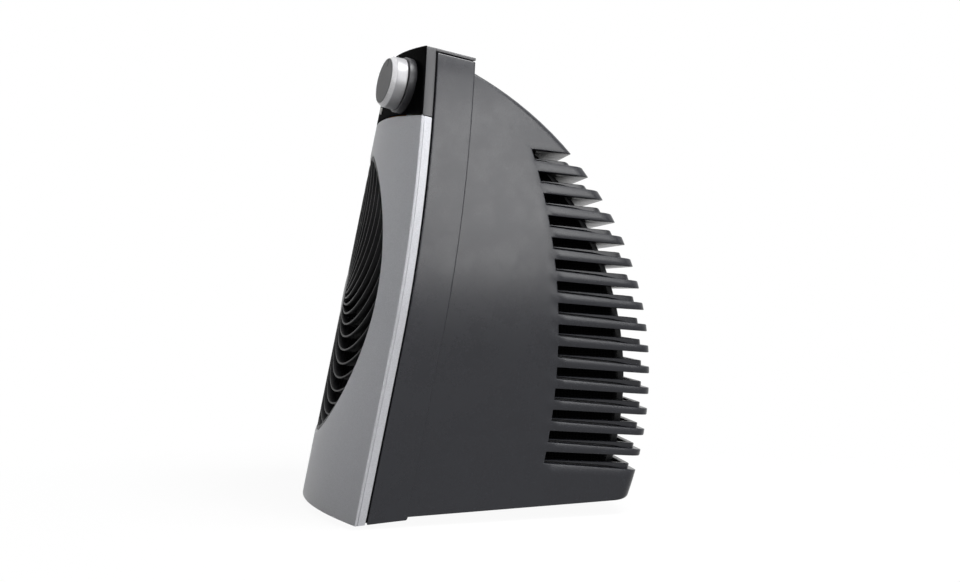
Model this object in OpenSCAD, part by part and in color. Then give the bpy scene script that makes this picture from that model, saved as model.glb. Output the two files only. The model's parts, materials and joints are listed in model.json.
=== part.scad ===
// Ceramic space heater: a bowed, leaning front, tapered sides and a louvred back.
// Z is up, the front faces -Y, and the origin is on the floor under the middle of the box.

/* [Overall size] */
// Height of the top front edge above the floor
body_h = 290; // [275:1:350]
// Width across the lower front corners
body_w = 259.4; // [216:0.2:312]
// Depth from the front foot to the rearmost louvre
body_d = 215.4; // [204:0.1:255]
// Height of the shell's lower front edge above the floor
base_gap = 4.5; // [3:0.5:7]

/* [Casing shape] */
// Backward lean of the front, degrees
lean = 11.4; // [8:0.1:14]
// Radius of the bowed front in plan
bow_r = 297.6; // [280:0.2:400]
// Narrowing of each side towards the back, degrees
taper = 13.9; // [10:0.1:16]
// Outward flare of the lower sides, degrees
side_flare = 2.83; // [1:0.01:4]
// How far the top of a side comes in
side_tuck = 26.24; // [20:0.01:32]
// Height at which the sides are widest
side_z = 129; // [110:1:150]
// How far the back's round profile would rise over the top
back_over = 6; // [2:0.5:12]
// Height of the rearmost point of the back
back_z = 86; // [75:1:95]
// Wall thickness of the mouldings
wall = 2.4; // [1.8:0.1:3]
// Thickness of the raised front housing block
block_t = 33; // [28:0.5:40]
// Inset of the louvred back behind that block
back_step = 0.8; // [0.4:0.1:1.5]
// Width of the front mouldings' side strip
strip_w = 6.6; // [5:0.1:9]
// Open seam between front mouldings and housing
seam = 1.1; // [0.8:0.1:1.6]
// Hairline between two parts of the casing
hairline = 0.35; // [0.3:0.05:0.6]
// Overlap of the hidden tongues behind the seams
tongue = 6; // [4:0.5:9]

/* [Louvres] */
// Number of slots
slot_count = 15; // [8:1:16]
// Height of the topmost slot's upper edge at its front end
slot_top = 225; // [215:1:232]
// Spacing of the top two slots
slot_pitch = 13.56; // [12.5:0.01:14]
// Reduction of the spacing from slot to slot
slot_close = 0.065; // [0:0.005:0.08]
// Slot height at its front end
slot_h = 6.9; // [5:0.1:8]
// Slope of a fin's underside, degrees
fin_under = 4.8; // [3:0.1:6]
// Slope of a fin's top, degrees
fin_over = 6.5; // [5:0.1:8]
// Depth of the fins behind the outer surface
fin_deep = 14; // [11:0.5:17]
// Set-back of the lip on each fin
lip_in = 7; // [4:0.5:9]
// Height of the lip on each fin
lip_h = 1.8; // [1:0.1:2.5]
// Distance of the slot ends from the front line at mid height
slot_y = 155.2; // [145:0.1:160]
// Radius of the arc on which the slot ends lie
slot_arc_r = 390; // [330:1:450]
// Height of that arc's foremost bulge
slot_arc_z = 116; // [100:1:130]

/* [Air outlet] */
// Half width of the oval outlet
outlet_a = 99; // [86:0.5:106]
// Half height of the oval outlet
outlet_b = 90.4; // [82:0.2:95]
// Shift of the oval's end arcs from its middle
outlet_d = 18; // [14:1:22]
// Height of the outlet's middle, along the front
outlet_w = 139; // [120:0.1:146]
// Recess of the grille at its middle
rib_in = 0.6; // [0.4:0.1:3]
// Radius of the grille's own bow
grille_r = 272; // [250:1:300]
// Depth of the grille ribs
rib_deep = 3.2; // [2:0.2:5]
// Thickness of a grille rib
rib_t = 1.5; // [1.2:0.1:2.5]
// Number of swirled ribs
rib_count = 24; // [16:2:30]
// Radius of the circle that each rib follows
rib_r = 56; // [56:1:80]
// Radius of the grille's hub
hub_r = 18; // [14:0.5:24]
// Radius of the ring that ties the ribs
tie_ring_r = 58; // [40:1:70]
// Thickness of the blank cap on the hub
hub_cap_t = 1.4; // [1:0.1:2]
// Radius of the blank cap on the hub
hub_cap_r = 14; // [10:0.5:16]

/* [Controls] */
// Height of the glossy panel, along the front
panel_h = 43; // [38:0.5:48]
// Height of the knob and the keys above the panel's foot
knob_up = 19.1; // [18:0.1:23]
// Panel thickness
panel_t = 2; // [1.6:0.1:2.6]
// Knob position round the bow, degrees
knob_at = 15.4; // [12:0.05:16]
// Knob radius at its foot
knob_r = 16; // [13:0.1:17]
// Knob radius at its face
knob_face_r = 14.6; // [11:0.1:15]
// Height of the knob's face above the panel
knob_h = 14.4; // [11:0.1:18]
// Radius of the dark ring under the knob
dial_r = 17.2; // [15:0.1:18]
// Height of that ring
dial_h = 4.4; // [2:0.1:5]
// Radius of the knob's flat cap
knob_cap_r = 12.6; // [9:0.1:13]
// Radius of the thermostat's shaft
stat_shaft_r = 3; // [2.5:0.1:3.5]
// Radius of the thermostat's threaded neck
stat_neck_r = 4.8; // [4:0.1:6]
// Side of the thermostat's body
stat_w = 25; // [20:1:28]
// Depth of the thermostat's body
stat_deep = 14; // [10:0.5:16]
// Middle key's position round the bow, degrees
key_at = -11.5; // [-13:0.1:-10]
// Spacing of the keys
key_pitch = 21; // [19:0.5:24]
// Width of a key
key_w = 16; // [12:0.5:17]
// Height of a key
key_h = 10; // [8:0.5:14]
// Height of the keys above the panel
key_out = 0.8; // [0.5:0.1:1.5]
// Travel of the keys
key_travel = 2.5; // [1.5:0.1:3]
// Pilot lamp position round the bow, degrees
pilot_at = 4.05; // [2:0.05:5]
// Height of the pilot lamp above the panel's lower edge
pilot_up = 8.5; // [6:0.5:12]
// Radius of the pilot lens
pilot_r = 2.3; // [1.5:0.1:3]
// How far the pilot lens stands out of the panel
pilot_out = 1.3; // [0.4:0.1:2]

/* [Fan and duct] */
// Inner radius of the duct
duct_r = 82; // [76:0.5:86]
// Length of the duct
duct_len = 74; // [66:1:80]
// Radius of the impeller
fan_r = 78; // [70:0.5:79]
// Depth of the impeller
fan_deep = 24; // [18:1:26]
// Number of blades
blade_count = 7; // [5:1:9]
// Radius of the impeller's hub
fan_hub_r = 20; // [16:1:24]
// Radius of the motor can
motor_r = 26; // [22:0.5:30]
// Length of the motor can
motor_len = 40; // [34:1:46]
// Radius of the motor shaft
shaft_r = 2.5; // [2:0.1:3]

/* [Heating element] */
// Width of the heating pack
pack_w = 120; // [100:1:124]
// Depth of the heating pack
pack_deep = 15; // [10:0.5:16]
// Number of rows of ceramic stones
stone_rows = 4; // [2:1:4]
// Stones in a row
stones_per_row = 4; // [3:1:5]
// Thickness of a stone
stone_t = 2.4; // [2:0.1:3]
// Thickness of an electrode strip
strip_t = 1; // [0.8:0.1:1.5]
// Height of a fin row
fin_row = 13; // [10:0.5:14]
// Pitch of the corrugated fins
fin_pitch = 5; // [4:0.5:8]
// Thickness of the fin sheet
sheet_t = 0.5; // [0.4:0.1:0.8]
// Width of the end rails
rail_w = 7; // [5:0.5:9]

/* [Base] */
// Height of the base plate's underside
plate_z = 9.6; // [8:0.2:12]
// Rise of the shell's lower edge towards the back, degrees
sill_rise = 1.35; // [0:0.05:2]
// Radius of a rubber foot
foot_r = 9; // [7:0.5:12]
// Radius of the hole for the mains cord
cord_r = 3.6; // [3:0.1:4]
// Height of the cord inlet
gland_z = 18.5; // [18:0.5:19.5]
// Distance of the cord inlet from the middle
gland_x = 52; // [0:1:60]

/* [Fits] */
// Radial clearance of a running fit
run_fit = 0.04; // [0.02:0.01:0.08]
// Gap round a part that sits in a recess
seat_fit = 0.2; // [0.1:0.05:0.35]
// Gap round a part that moves in a recess
move_fit = 0.4; // [0.3:0.05:0.6]
// Radius of a screw's thread
screw_r = 1.5; // [1.2:0.1:2]
// Smoothness of round parts
$fn = 96; // [48:8:160]

/* [Hidden] */

graphite = "#4a4b4e";
silver = "#8d9095";
black = "#18181a";
far = 700;
fine = 360;
lip_t = 1.5;
oval_blend = 4;
gland_neck_r = cord_r + 1.8;
knob_cap_t = 1.2;
nut_t = 2.4;
blade_pitch = 52;
cutout_at = 60;
fuse_up = 5;
rib_places = [-60, -30, 0, 30, 60];

// Casing lines
side_r = (pow(body_h - side_z, 2) + pow(side_tuck, 2)) / (2 * side_tuck);
back_r = body_h + back_over - back_z;
front_y = base_gap * tan(lean);
rear_y = front_y + body_d;
mid_y = (front_y + rear_y) / 2;
top_w = body_h / cos(lean);
panel_w0 = top_w - panel_h;
corner_y = front_y + (bow_r - sqrt(pow(bow_r, 2) - pow(body_w / 2, 2))) / cos(lean);
side_low = body_w / 2 * cos(taper) + corner_y * sin(taper);
flare_z = side_z - side_r * sin(side_flare);
flare_x = (flare_z - base_gap) * tan(side_flare);
side_c = side_low + flare_x - side_r * cos(side_flare);
back_c = rear_y - back_r;
cover_t = 2.8;
block_gap = 1.0;
block_v = block_t / cos(lean);
block_top = top_w - cover_t - block_gap;
sill_y = 60;
sill_step = 1.5;

// Louvre places
function slot_z(k) = slot_top - slot_pitch * k + slot_close * k * (k - 1) / 2;
function slot_end(z) = slot_y - slot_arc_r + sqrt(pow(slot_arc_r, 2) - pow(z - slot_arc_z, 2));
last_z = slot_z(slot_count - 1) - slot_h;

// Duct and motor places, along the leaning axis
duct_v = 30;
plate_t = 2.4;
duct_wall = 2.4;
pack_v = duct_v + 8;
baffle_v = pack_v + pack_deep;
baffle_t = 1.2;
ledge = 3;
fan_v = baffle_v + baffle_t + 14;
spider_t = 4;
spider_r = motor_r + 4;
motor_v = duct_v + duct_len;
spider_v = motor_v - spider_t;
can_t = 1.6;
bush_r = 6;
neck_r = bush_r + 3;
bell_t = 2;
shaft_tail = 2;
clip_t = 2.5;
clip_r = 6;
armature_r = 16;
motor_screw_at = motor_r - 6;
post_x = 84;
post_w = 76;
post_r = 5;
pack_h = (stone_rows + 1) * fin_row + stone_rows * (stone_t + 2 * strip_t);
row_pitch = fin_row + stone_t + 2 * strip_t;
bar_t = 3;

// Control places
knob_w = panel_w0 + knob_up;
rim = 1.6;
tongue_t = 1.6;
tongue_in = wall + seat_fit;
stat_z = -panel_t - 0.3;
key_flange = 1.5;
key_flange_z = -6;
key_flange_t = 2;
stem_r = 1.7;
stem_z = -16;
switch_z = -9.4;
switch_deep = 16;
pocket_z = stem_z - key_travel - 0.5;
spring_r = 2.8;
lens_z = -4;

// Base places, from the sides' line at the bottom
function side_x(y) = (side_low - y * sin(taper)) / cos(taper);
foot_in = 42;
front_foot_y = 50;
rear_foot_y = 150;
rear_foot_x = 34;
feet = [for (s = [-1, 1]) [s * (side_x(front_foot_y) - foot_in), front_foot_y],
    for (s = [-1, 1]) [s * rear_foot_x, rear_foot_y]];
bosses = [for (y = [70, 162], s = [-1, 1]) [s * (side_x(y) - 14), y]];
leg_x = 60;
leg_y = 45;
floor_z = plate_z + plate_t;
boss_h = 12;
tip_x = -50;
tip_y = 121.5;
tip_h = 36;
cheek = 9;
pin_r = 1.5;
bob_r = 6;
block_x = 30;
block_y = 176;
wire_r = 1.3;

// Places
module row() { translate([0, -mid_y, 0]) children(); }
module leaned() { rotate([-lean, 0, 0]) children(); }
module on_axis(v) { row() leaned() translate([0, v, outlet_w]) rotate([-90, 0, 0]) children(); }
module along_v(v0, v1) {
    translate([0, v1, 0]) rotate([90, 0, 0]) linear_extrude(v1 - v0) children();
}
// On the bowed panel: z points out of the panel, y up along it
module on_panel(at, w) {
    row() leaned() translate([0, bow_r, w]) rotate([0, 0, at]) translate([0, -bow_r, 0])
        rotate([90, 0, 0]) children();
}
// On the back: z points out of it, and z = 0 is its surface
module on_back(x, z) {
    row() translate([x, back_c, back_z]) rotate([-90 - asin((back_z - z) / back_r), 0, 0])
        translate([0, 0, back_r]) children();
}

// Surfaces of the casing, each moved in by an offset
module bow(off) {
    translate([0, bow_r, -far / 4]) cylinder(r = bow_r - off, h = far, $fn = fine);
}
module behind(depth) { leaned() translate([0, depth, 0]) bow(0); }
module zone(from, to) {
    difference() {
        behind(from);
        behind(to);
    }
}
module grille_layer(a, b) {
    leaned() translate([0, rib_in + grille_r, -far / 4]) difference() {
        cylinder(r = grille_r - a, h = far, $fn = fine);
        translate([0, 0, -1]) cylinder(r = grille_r - b, h = far + 2, $fn = fine);
        translate([-far, 0, -1]) cube([2 * far, far, 2 * far]);
    }
}
module side_half(off) {
    low = side_low - off / cos(side_flare);
    x = side_low + flare_x - off * cos(side_flare);
    z = flare_z + off * sin(side_flare);
    drop = far / 10;
    rotate([0, 0, taper]) translate([0, far, 0]) rotate([90, 0, 0]) linear_extrude(2 * far) union() {
        polygon([[-far, -drop], [low - (drop + base_gap) * tan(side_flare), -drop], [x, z], [-far, z]]);
        intersection() {
            translate([side_c, side_z]) circle(r = side_r - off, $fn = fine);
            translate([-far, z]) square([2 * far, far]);
        }
    }
}
module sides(off) {
    intersection() {
        side_half(off);
        mirror([1, 0, 0]) side_half(off);
    }
}
module back(off) {
    translate([0, back_c, back_z]) rotate([0, 90, 0]) cylinder(r = back_r - off, h = far, center = true, $fn = fine);
}
module under(w) {
    leaned() translate([-far, -far, w - 2 * far]) cube([2 * far, 2 * far, 2 * far]);
}
module above_w(w) {
    leaned() translate([-far, -far, w]) cube([2 * far, 2 * far, far]);
}
module above(z) { translate([-far, -far, z]) cube([2 * far, 2 * far, far]); }
module oval(grow) {
    a = outlet_a + grow;
    b = outlet_b + grow;
    r1 = a - outlet_d;
    e = (pow(outlet_d, 2) - pow(b - r1, 2)) / (2 * (b - r1));
    r2 = b + e;
    join_x = r2 * outlet_d / sqrt(pow(outlet_d, 2) + pow(e, 2));
    translate([0, outlet_w]) union() {
        for (s = [-1, 1]) translate([s * outlet_d, 0]) circle(r = r1);
        intersection() {
            translate([0, -e]) circle(r = r2);
            translate([0, e]) circle(r = r2);
            square([2 * (join_x - oval_blend), 3 * b], center = true);
        }
    }
}
module screw(len, head_r = 3, head_t = 2) {
    translate([0, 0, -len]) cylinder(r = screw_r, h = len, $fn = 32);
    difference() {
        cylinder(r = head_r, h = head_t, $fn = 32);
        translate([0, 0, head_t - 0.8]) cube([0.8, head_r * 1.5, 2], center = true);
        translate([0, 0, head_t - 0.8]) cube([head_r * 1.5, 0.8, 2], center = true);
    }
}

// A point of the bowed panel's own axes, in the axes of row()
function panel_point(at, w, p) = let (v = bow_r - (p[2] + bow_r) * cos(at) + p[0] * sin(at), h = w + p[1])
    [(p[2] + bow_r) * sin(at) + p[0] * cos(at), v * cos(lean) + h * sin(lean),
        h * cos(lean) - v * sin(lean)];
module tube(outer, inner, h) {
    difference() {
        cylinder(r = outer, h = h);
        translate([0, 0, -1]) cylinder(r = inner, h = h + 2);
    }
}
module wire(points) {
    for (i = [0 : len(points) - 2]) let (d = points[i + 1] - points[i], l = norm(d))
        translate(points[i]) rotate([0, acos(d[2] / l), atan2(d[1], d[0])])
            cylinder(r = wire_r, h = l, $fn = 24);
    for (i = [1 : len(points) - 2]) translate(points[i]) sphere(r = wire_r * 1.05, $fn = 24);
}

// Lower edge of the housing: flat under the front block, then rising towards the back
module over_sill() {
    translate([far / 2, 0, 0]) rotate([90, 0, -90]) linear_extrude(far) polygon([
        [far / 4, base_gap], [-sill_y, base_gap], [-sill_y, base_gap + sill_step],
        [-far / 2, base_gap + sill_step + (far / 2 - sill_y) * tan(sill_rise)],
        [-far / 2, far], [far / 4, far]]);
}
module block_body(off) {
    intersection() {
        sides(off);
        zone(strip_w + seam - off, block_v - off);
        under(block_top - off);
    }
}
module casing(off) {
    intersection() {
        sides(back_step + off);
        back(off);
    }
}
module casing_layer(a, b) {
    difference() {
        casing(a);
        casing(b);
    }
}
module back_body(off) {
    intersection() {
        casing(off);
        behind(strip_w + seam - off);
        under(block_top - off);
    }
}
module slot_shape(z, low, high) {
    y = slot_end(z);
    run = body_d;
    translate([far / 2, 0, 0]) rotate([90, 0, -90]) linear_extrude(far) polygon([
        [-y, high], [-y, low], [-y - run, low - run * tan(fin_over)],
        [-y - run, high - run * tan(fin_under)]]);
}
module louvre_range() { slot_shape(slot_z(0), last_z - wall / 2, slot_z(0) + wall); }
module slots() {
    for (k = [0 : slot_count - 1]) let (z = slot_z(k)) slot_shape(z, z - slot_h, z);
}
module lips() {
    intersection() {
        casing_layer(lip_in, lip_in + lip_t);
        union() {
            for (k = [0 : slot_count - 1]) let (z = slot_z(k))
                slot_shape(z, z - slot_h - lip_t / 2, z - slot_h + lip_h);
        }
    }
}
module back_ribs() {
    for (x = rib_places) intersection() {
        translate([x - rib_t / 2, 0, 0]) cube([rib_t, far, far]);
        difference() {
            back(fin_deep - rib_t);
            back(fin_deep + rib_t * 2);
        }
        louvre_range();
    }
}
module housing_shell() {
    difference() {
        union() {
            block_body(0);
            back_body(0);
        }
        block_body(wall);
        back_body(wall);
    }
}
module base_bosses() {
    for (p = bosses) difference() {
        intersection() {
            union() {
                translate([p[0], p[1], floor_z]) cylinder(r = post_r, h = boss_h, $fn = 48);
                translate([p[0] + (p[0] > 0 ? 0 : -30), p[1] - rib_t / 2, floor_z])
                    cube([30, rib_t, boss_h]);
            }
            casing(wall / 2);
        }
        translate([p[0], p[1], 0]) cylinder(r = screw_r, h = floor_z + boss_h - 2, $fn = 32);
    }
}
module rear_housing() {
    color(graphite) row() {
        difference() {
            union() {
                intersection() {
                    over_sill();
                    housing_shell();
                }
                intersection() {
                    casing_layer(wall / 2, fin_deep);
                    louvre_range();
                }
            }
            slots();
            translate([0, mid_y, 0]) on_back(gland_x, gland_z) translate([0, 0, -wall - 2])
                cylinder(r = gland_neck_r + seat_fit, h = wall + 4);
        }
        lips();
        back_ribs();
        base_bosses();
    }
}
module front_tongue() {
    intersection() {
        difference() {
            sides(tongue_in);
            sides(tongue_in + tongue_t);
        }
        zone(strip_w - 1, strip_w + seam + tongue);
        under(block_top - wall - seat_fit);
        above(base_gap + wall);
    }
}
module top_cover() {
    color(graphite) row() {
        difference() {
            intersection() {
                sides(0);
                zone(0, strip_w);
                under(top_w);
                above_w(panel_w0);
            }
            intersection() {
                sides(rim);
                zone(-1, panel_t);
                under(top_w - rim);
            }
            intersection() {
                sides(tongue_in + tongue_t);
                under(top_w - cover_t - tongue_t);
            }
        }
        intersection() {
            sides(0);
            zone(strip_w - 1, block_v);
            under(top_w);
            above_w(top_w - cover_t);
        }
        intersection() {
            front_tongue();
            above_w(panel_w0);
        }
    }
}
module control_panel() {
    color(black) difference() {
        row() intersection() {
            sides(rim + seat_fit / 2);
            zone(0, panel_t);
            under(top_w - rim - seat_fit / 2);
            above_w(panel_w0 + hairline);
        }
        on_panel(knob_at, knob_w) translate([0, 0, -far / 8])
            cylinder(r = stat_neck_r + seat_fit, h = far / 4);
        for (i = [-1 : 1]) on_panel(key_at, knob_w) translate([i * key_pitch, 0, 0])
            cube([key_w + 2 * move_fit, key_h + 2 * move_fit, 30], center = true);
        on_panel(pilot_at, panel_w0 + pilot_up) translate([0, 0, -10])
            cylinder(r = pilot_r + seat_fit / 2, h = 20);
    }
}
module front_bezel() {
    color(silver) row() {
        difference() {
            union() {
                difference() {
                    intersection() {
                        sides(0);
                        zone(0, strip_w);
                        under(panel_w0 - hairline);
                        above(base_gap);
                    }
                    intersection() {
                        sides(wall);
                        behind(wall);
                        under(panel_w0 - hairline - wall);
                        above(base_gap + wall);
                    }
                }
                intersection() {
                    leaned() along_v(0, duct_v) oval(wall);
                    behind(wall / 2);
                }
                intersection() {
                    leaned() for (x = [-post_x, post_x], h = [-post_w, post_w])
                        along_v(0, duct_v) translate([x, outlet_w + h]) circle(r = post_r);
                    behind(wall / 2);
                }
            }
            leaned() along_v(-1, duct_v + 1) oval(0);
            leaned() for (x = [-post_x, post_x], h = [-post_w, post_w])
                along_v(duct_v - 10, duct_v + 1) translate([x, outlet_w + h]) circle(r = screw_r, $fn = 32);
        }
    }
}
module swirl() {
    for (k = [0 : rib_count - 1]) rotate([0, 0, 360 / rib_count * k]) intersection() {
        translate([-rib_r, 0]) difference() {
            circle(r = rib_r + rib_t / 2);
            circle(r = rib_r - rib_t / 2);
        }
        translate([-outlet_a * 1.2, hub_r / 2]) square([outlet_a * 1.2, outlet_a * 1.2]);
    }
}
module outlet_grille() {
    color(black) row() {
        intersection() {
            grille_layer(0, rib_deep);
            leaned() along_v(0, duct_v) union() {
                intersection() {
                    translate([0, outlet_w]) difference() {
                        swirl();
                        circle(r = hub_cap_r + seat_fit);
                    }
                    oval(-rib_t);
                }
                translate([0, outlet_w]) difference() {
                    circle(r = tie_ring_r + rib_t / 2);
                    circle(r = tie_ring_r - rib_t / 2);
                }
            }
        }
        intersection() {
            grille_layer(hub_cap_t, rib_deep);
            leaned() along_v(0, duct_v) translate([0, outlet_w]) circle(r = hub_r);
        }
        intersection() {
            grille_layer(0, rib_deep + 3.6);
            leaned() along_v(0, duct_v + 10) difference() {
                oval(-seat_fit);
                oval(-seat_fit - 2 * rib_t);
            }
        }
    }
}
module grille_hub() {
    color("#2a2b2d") row() intersection() {
        grille_layer(0, hub_cap_t);
        leaned() along_v(0, duct_v) translate([0, outlet_w]) circle(r = hub_cap_r);
    }
}
module dial_ring() {
    color("#2c2d2f") difference() {
        on_panel(knob_at, knob_w) translate([0, 0, -1]) tube(dial_r, dial_r - 7, dial_h + 1);
        row() behind(0);
    }
}
module control_knob() {
    color("#b9bbbe") on_panel(knob_at, knob_w) rotate_extrude() polygon([
        [stat_shaft_r + run_fit, dial_h + hairline], [knob_r, dial_h + hairline],
        [knob_face_r + 0.3, knob_h - 1.4], [knob_face_r - 0.9, knob_h - 0.2],
        [knob_cap_r + seat_fit / 2, knob_h - 0.2], [knob_cap_r + seat_fit / 2, knob_h - knob_cap_t],
        [stat_shaft_r + run_fit, knob_h - knob_cap_t]]);
}
module knob_cap() {
    color("#66676a") on_panel(knob_at, knob_w) translate([0, 0, knob_h - knob_cap_t])
        cylinder(r = knob_cap_r, h = knob_cap_t);
}
module thermostat_body() {
    color("#c9c4b4") on_panel(knob_at, knob_w) difference() {
        union() {
            translate([-stat_w / 2, -stat_w / 2, stat_z - stat_deep]) cube([stat_w, stat_w, stat_deep]);
            translate([0, 0, stat_z - 1]) cylinder(r = stat_neck_r, h = 1 - stat_z + nut_t + 0.6);
        }
        translate([0, 0, stat_z - stat_deep / 2])
            cylinder(r = stat_shaft_r + run_fit, h = stat_deep + knob_h);
    }
}
module thermostat_shaft() {
    color("#a7a9ac") on_panel(knob_at, knob_w) translate([0, 0, stat_z - stat_deep / 2 + 0.3])
        cylinder(r = stat_shaft_r, h = knob_h - knob_cap_t - 0.3 - stat_z + stat_deep / 2 - 0.3);
}
module thermostat_nut() {
    color("#9c9ea1") on_panel(knob_at, knob_w) difference() {
        cylinder(r = stat_neck_r + 3.4, h = nut_t, $fn = 6);
        translate([0, 0, -1]) cylinder(r = stat_neck_r + run_fit, h = nut_t + 2);
    }
}
module key(i) {
    color("#232426") difference() {
        intersection() {
            on_panel(key_at, knob_w) translate([i * key_pitch, 0, 0]) union() {
                translate([-key_w / 2, -key_h / 2, key_flange_z]) cube([key_w, key_h, 30]);
                translate([-key_w / 2 - key_flange, -key_h / 2 - key_flange, key_flange_z])
                    cube([key_w + 2 * key_flange, key_h + 2 * key_flange, key_flange_t]);
                translate([0, 0, stem_z]) cylinder(r = stem_r, h = key_flange_z - stem_z + 1, $fn = 48);
            }
            row() leaned() bow(-key_out);
        }
    }
}
module key_fan() { key(1); }
module key_low() { key(0); }
module key_high() { key(-1); }
module key_switch() {
    color("#ddd8c8") on_panel(key_at, knob_w) difference() {
        translate([-1.5 * key_pitch - 4, -key_h / 2 - 4, switch_z - switch_deep])
            cube([3 * key_pitch + 8, key_h + 8, switch_deep]);
        for (i = [-1 : 1]) translate([i * key_pitch, 0, pocket_z])
            cylinder(r = spring_r + seat_fit, h = 30, $fn = 48);
    }
    color("#ddd8c8") intersection() {
        on_panel(key_at, knob_w) for (s = [-1, 1]) translate([s * (1.5 * key_pitch + 2), 0, switch_z - 1])
            cylinder(r = 2, h = 20, $fn = 48);
        row() behind(panel_t);
    }
}
module key_springs() {
    color("#b5b8bb") on_panel(key_at, knob_w) for (i = [-1 : 1]) translate([i * key_pitch, 0, pocket_z])
        tube(spring_r, stem_r + 0.4, key_flange_z - key_travel - 0.5 - pocket_z - 2);
}
module pilot_lens() {
    color("#e8e4dc") on_panel(pilot_at, panel_w0 + pilot_up) {
        translate([0, 0, lens_z]) cylinder(r = pilot_r, h = pilot_out / 2 - lens_z);
        translate([0, 0, pilot_out / 2]) cylinder(r1 = pilot_r, r2 = pilot_r / 2, h = pilot_out / 2);
        translate([0, 0, lens_z]) cylinder(r = pilot_r + 1, h = 1.6);
    }
}
module pilot_lamp() {
    color("#d9a56a") on_panel(pilot_at, panel_w0 + pilot_up) translate([0, 0, lens_z - 12])
        cylinder(r = pilot_r + 1, h = 12);
}
module base_plate() {
    color(graphite) difference() {
        row() intersection() {
            casing(wall + seat_fit);
            difference() {
                above(plate_z);
                above(floor_z);
            }
            behind(strip_w + seam + tongue + 1);
        }
        row() for (p = feet) translate([p[0], p[1], 0]) cylinder(r = 3 + seat_fit, h = 40, $fn = 48);
        row() for (p = bosses) translate([p[0], p[1], 0]) cylinder(r = screw_r + seat_fit, h = 40, $fn = 32);
        row() for (s = [-1, 1]) translate([s * leg_x, leg_y, 0])
            cylinder(r = screw_r + seat_fit, h = 40, $fn = 32);
    }
}
module rubber_feet() {
    color("#1f1f20") row() for (p = feet) translate([p[0], p[1], 0]) {
        cylinder(r = foot_r, h = plate_z);
        cylinder(r = 3, h = floor_z);
        translate([0, 0, floor_z]) cylinder(r = 4.2, h = 2);
    }
}
module case_screws() {
    color("#a9abae") row() {
        for (p = bosses) translate([p[0], p[1], plate_z]) rotate([180, 0, 0]) screw(plate_t + boss_h - 3);
        for (s = [-1, 1]) translate([s * leg_x, leg_y, plate_z]) rotate([180, 0, 0])
            screw(plate_t + boss_h - 3);
    }
}
module shroud_outline() {
    translate([0, outlet_w]) intersection() {
        square([2 * (outlet_a + 8), 2 * (outlet_b + 8)], center = true);
        circle(r = outlet_a + 20);
    }
}
module fan_shroud() {
    color("#202124") row() {
        difference() {
            union() {
                leaned() along_v(duct_v, duct_v + plate_t) shroud_outline();
                leaned() along_v(duct_v, motor_v) translate([0, outlet_w]) circle(r = duct_r + duct_wall);
                intersection() {
                    leaned() for (s = [-1, 1]) translate([s * leg_x - post_r, duct_v, 0])
                        cube([2 * post_r, plate_t, outlet_w / 2]);
                    above(floor_z);
                }
                for (s = [-1, 1]) {
                    translate([s * leg_x, leg_y, floor_z]) cylinder(r = post_r, h = boss_h, $fn = 48);
                    intersection() {
                        translate([s * leg_x - rib_t, leg_y - 30, floor_z]) cube([2 * rib_t, 30, boss_h]);
                        leaned() translate([-far, duct_v, -far]) cube([2 * far, far, 2 * far]);
                    }
                }
            }
            leaned() along_v(duct_v - 1, motor_v + 1) translate([0, outlet_w]) circle(r = duct_r);
            leaned() for (x = [-post_x, post_x], h = [-post_w, post_w]) along_v(0, far / 8)
                translate([x, outlet_w + h]) circle(r = screw_r + seat_fit, $fn = 32);
            for (s = [-1, 1]) translate([s * leg_x, leg_y, 0])
                cylinder(r = screw_r, h = floor_z + boss_h - 2, $fn = 32);
        }
        leaned() along_v(baffle_v + baffle_t, baffle_v + baffle_t + 2) translate([0, outlet_w])
            difference() {
                circle(r = duct_r + 1);
                circle(r = duct_r - ledge);
            }
        leaned() along_v(spider_v, motor_v) translate([0, outlet_w]) difference() {
            union() {
                circle(r = spider_r);
                intersection() {
                    circle(r = duct_r + 1);
                    for (a = [45 : 90 : 315]) rotate([0, 0, a]) translate([spider_r - 3, -5]) square([far, 10]);
                }
            }
            circle(r = neck_r + seat_fit);
            for (a = [0 : 120 : 240]) rotate([0, 0, a]) translate([0, motor_screw_at])
                circle(r = screw_r + seat_fit, $fn = 32);
        }
    }
}
module shroud_screws() {
    color("#a9abae") row() leaned() for (x = [-post_x, post_x], h = [-post_w, post_w])
        translate([x, duct_v + plate_t, outlet_w + h]) rotate([-90, 0, 0]) screw(11);
}
module motor_can() {
    color("#8c8f93") on_axis(motor_v) difference() {
        union() {
            cylinder(r = motor_r, h = motor_len);
            translate([0, 0, -spider_t]) cylinder(r = neck_r, h = spider_t + 1);
        }
        translate([0, 0, 2]) cylinder(r = motor_r - can_t, h = motor_len);
        translate([0, 0, -spider_t - 1]) cylinder(r = bush_r, h = spider_t + 9);
        for (a = [0 : 120 : 240]) rotate([0, 0, a]) translate([0, -motor_screw_at, -1])
            cylinder(r = screw_r, h = 9, $fn = 32);
    }
}
module motor_end_bell() {
    color("#8c8f93") on_axis(motor_v + motor_len) difference() {
        union() {
            cylinder(r = motor_r, h = bell_t);
            translate([0, 0, -3]) cylinder(r = neck_r, h = 4);
        }
        translate([0, 0, -4]) cylinder(r = bush_r, h = bell_t + 8);
    }
}
module motor_bushes() {
    color("#b08d57") {
        on_axis(motor_v - spider_t) tube(bush_r, shaft_r + run_fit, spider_t + 2);
        on_axis(motor_v + motor_len - 3) tube(bush_r, shaft_r + run_fit, bell_t + 3);
    }
}
module motor_stator() {
    color("#6d4b3a") on_axis(motor_v + 8) tube(motor_r - can_t - 0.1, armature_r + 0.8, motor_len - 14);
}
module motor_armature() {
    color("#b5713c") on_axis(motor_v + 9) tube(armature_r, shaft_r, motor_len - 16);
}
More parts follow.
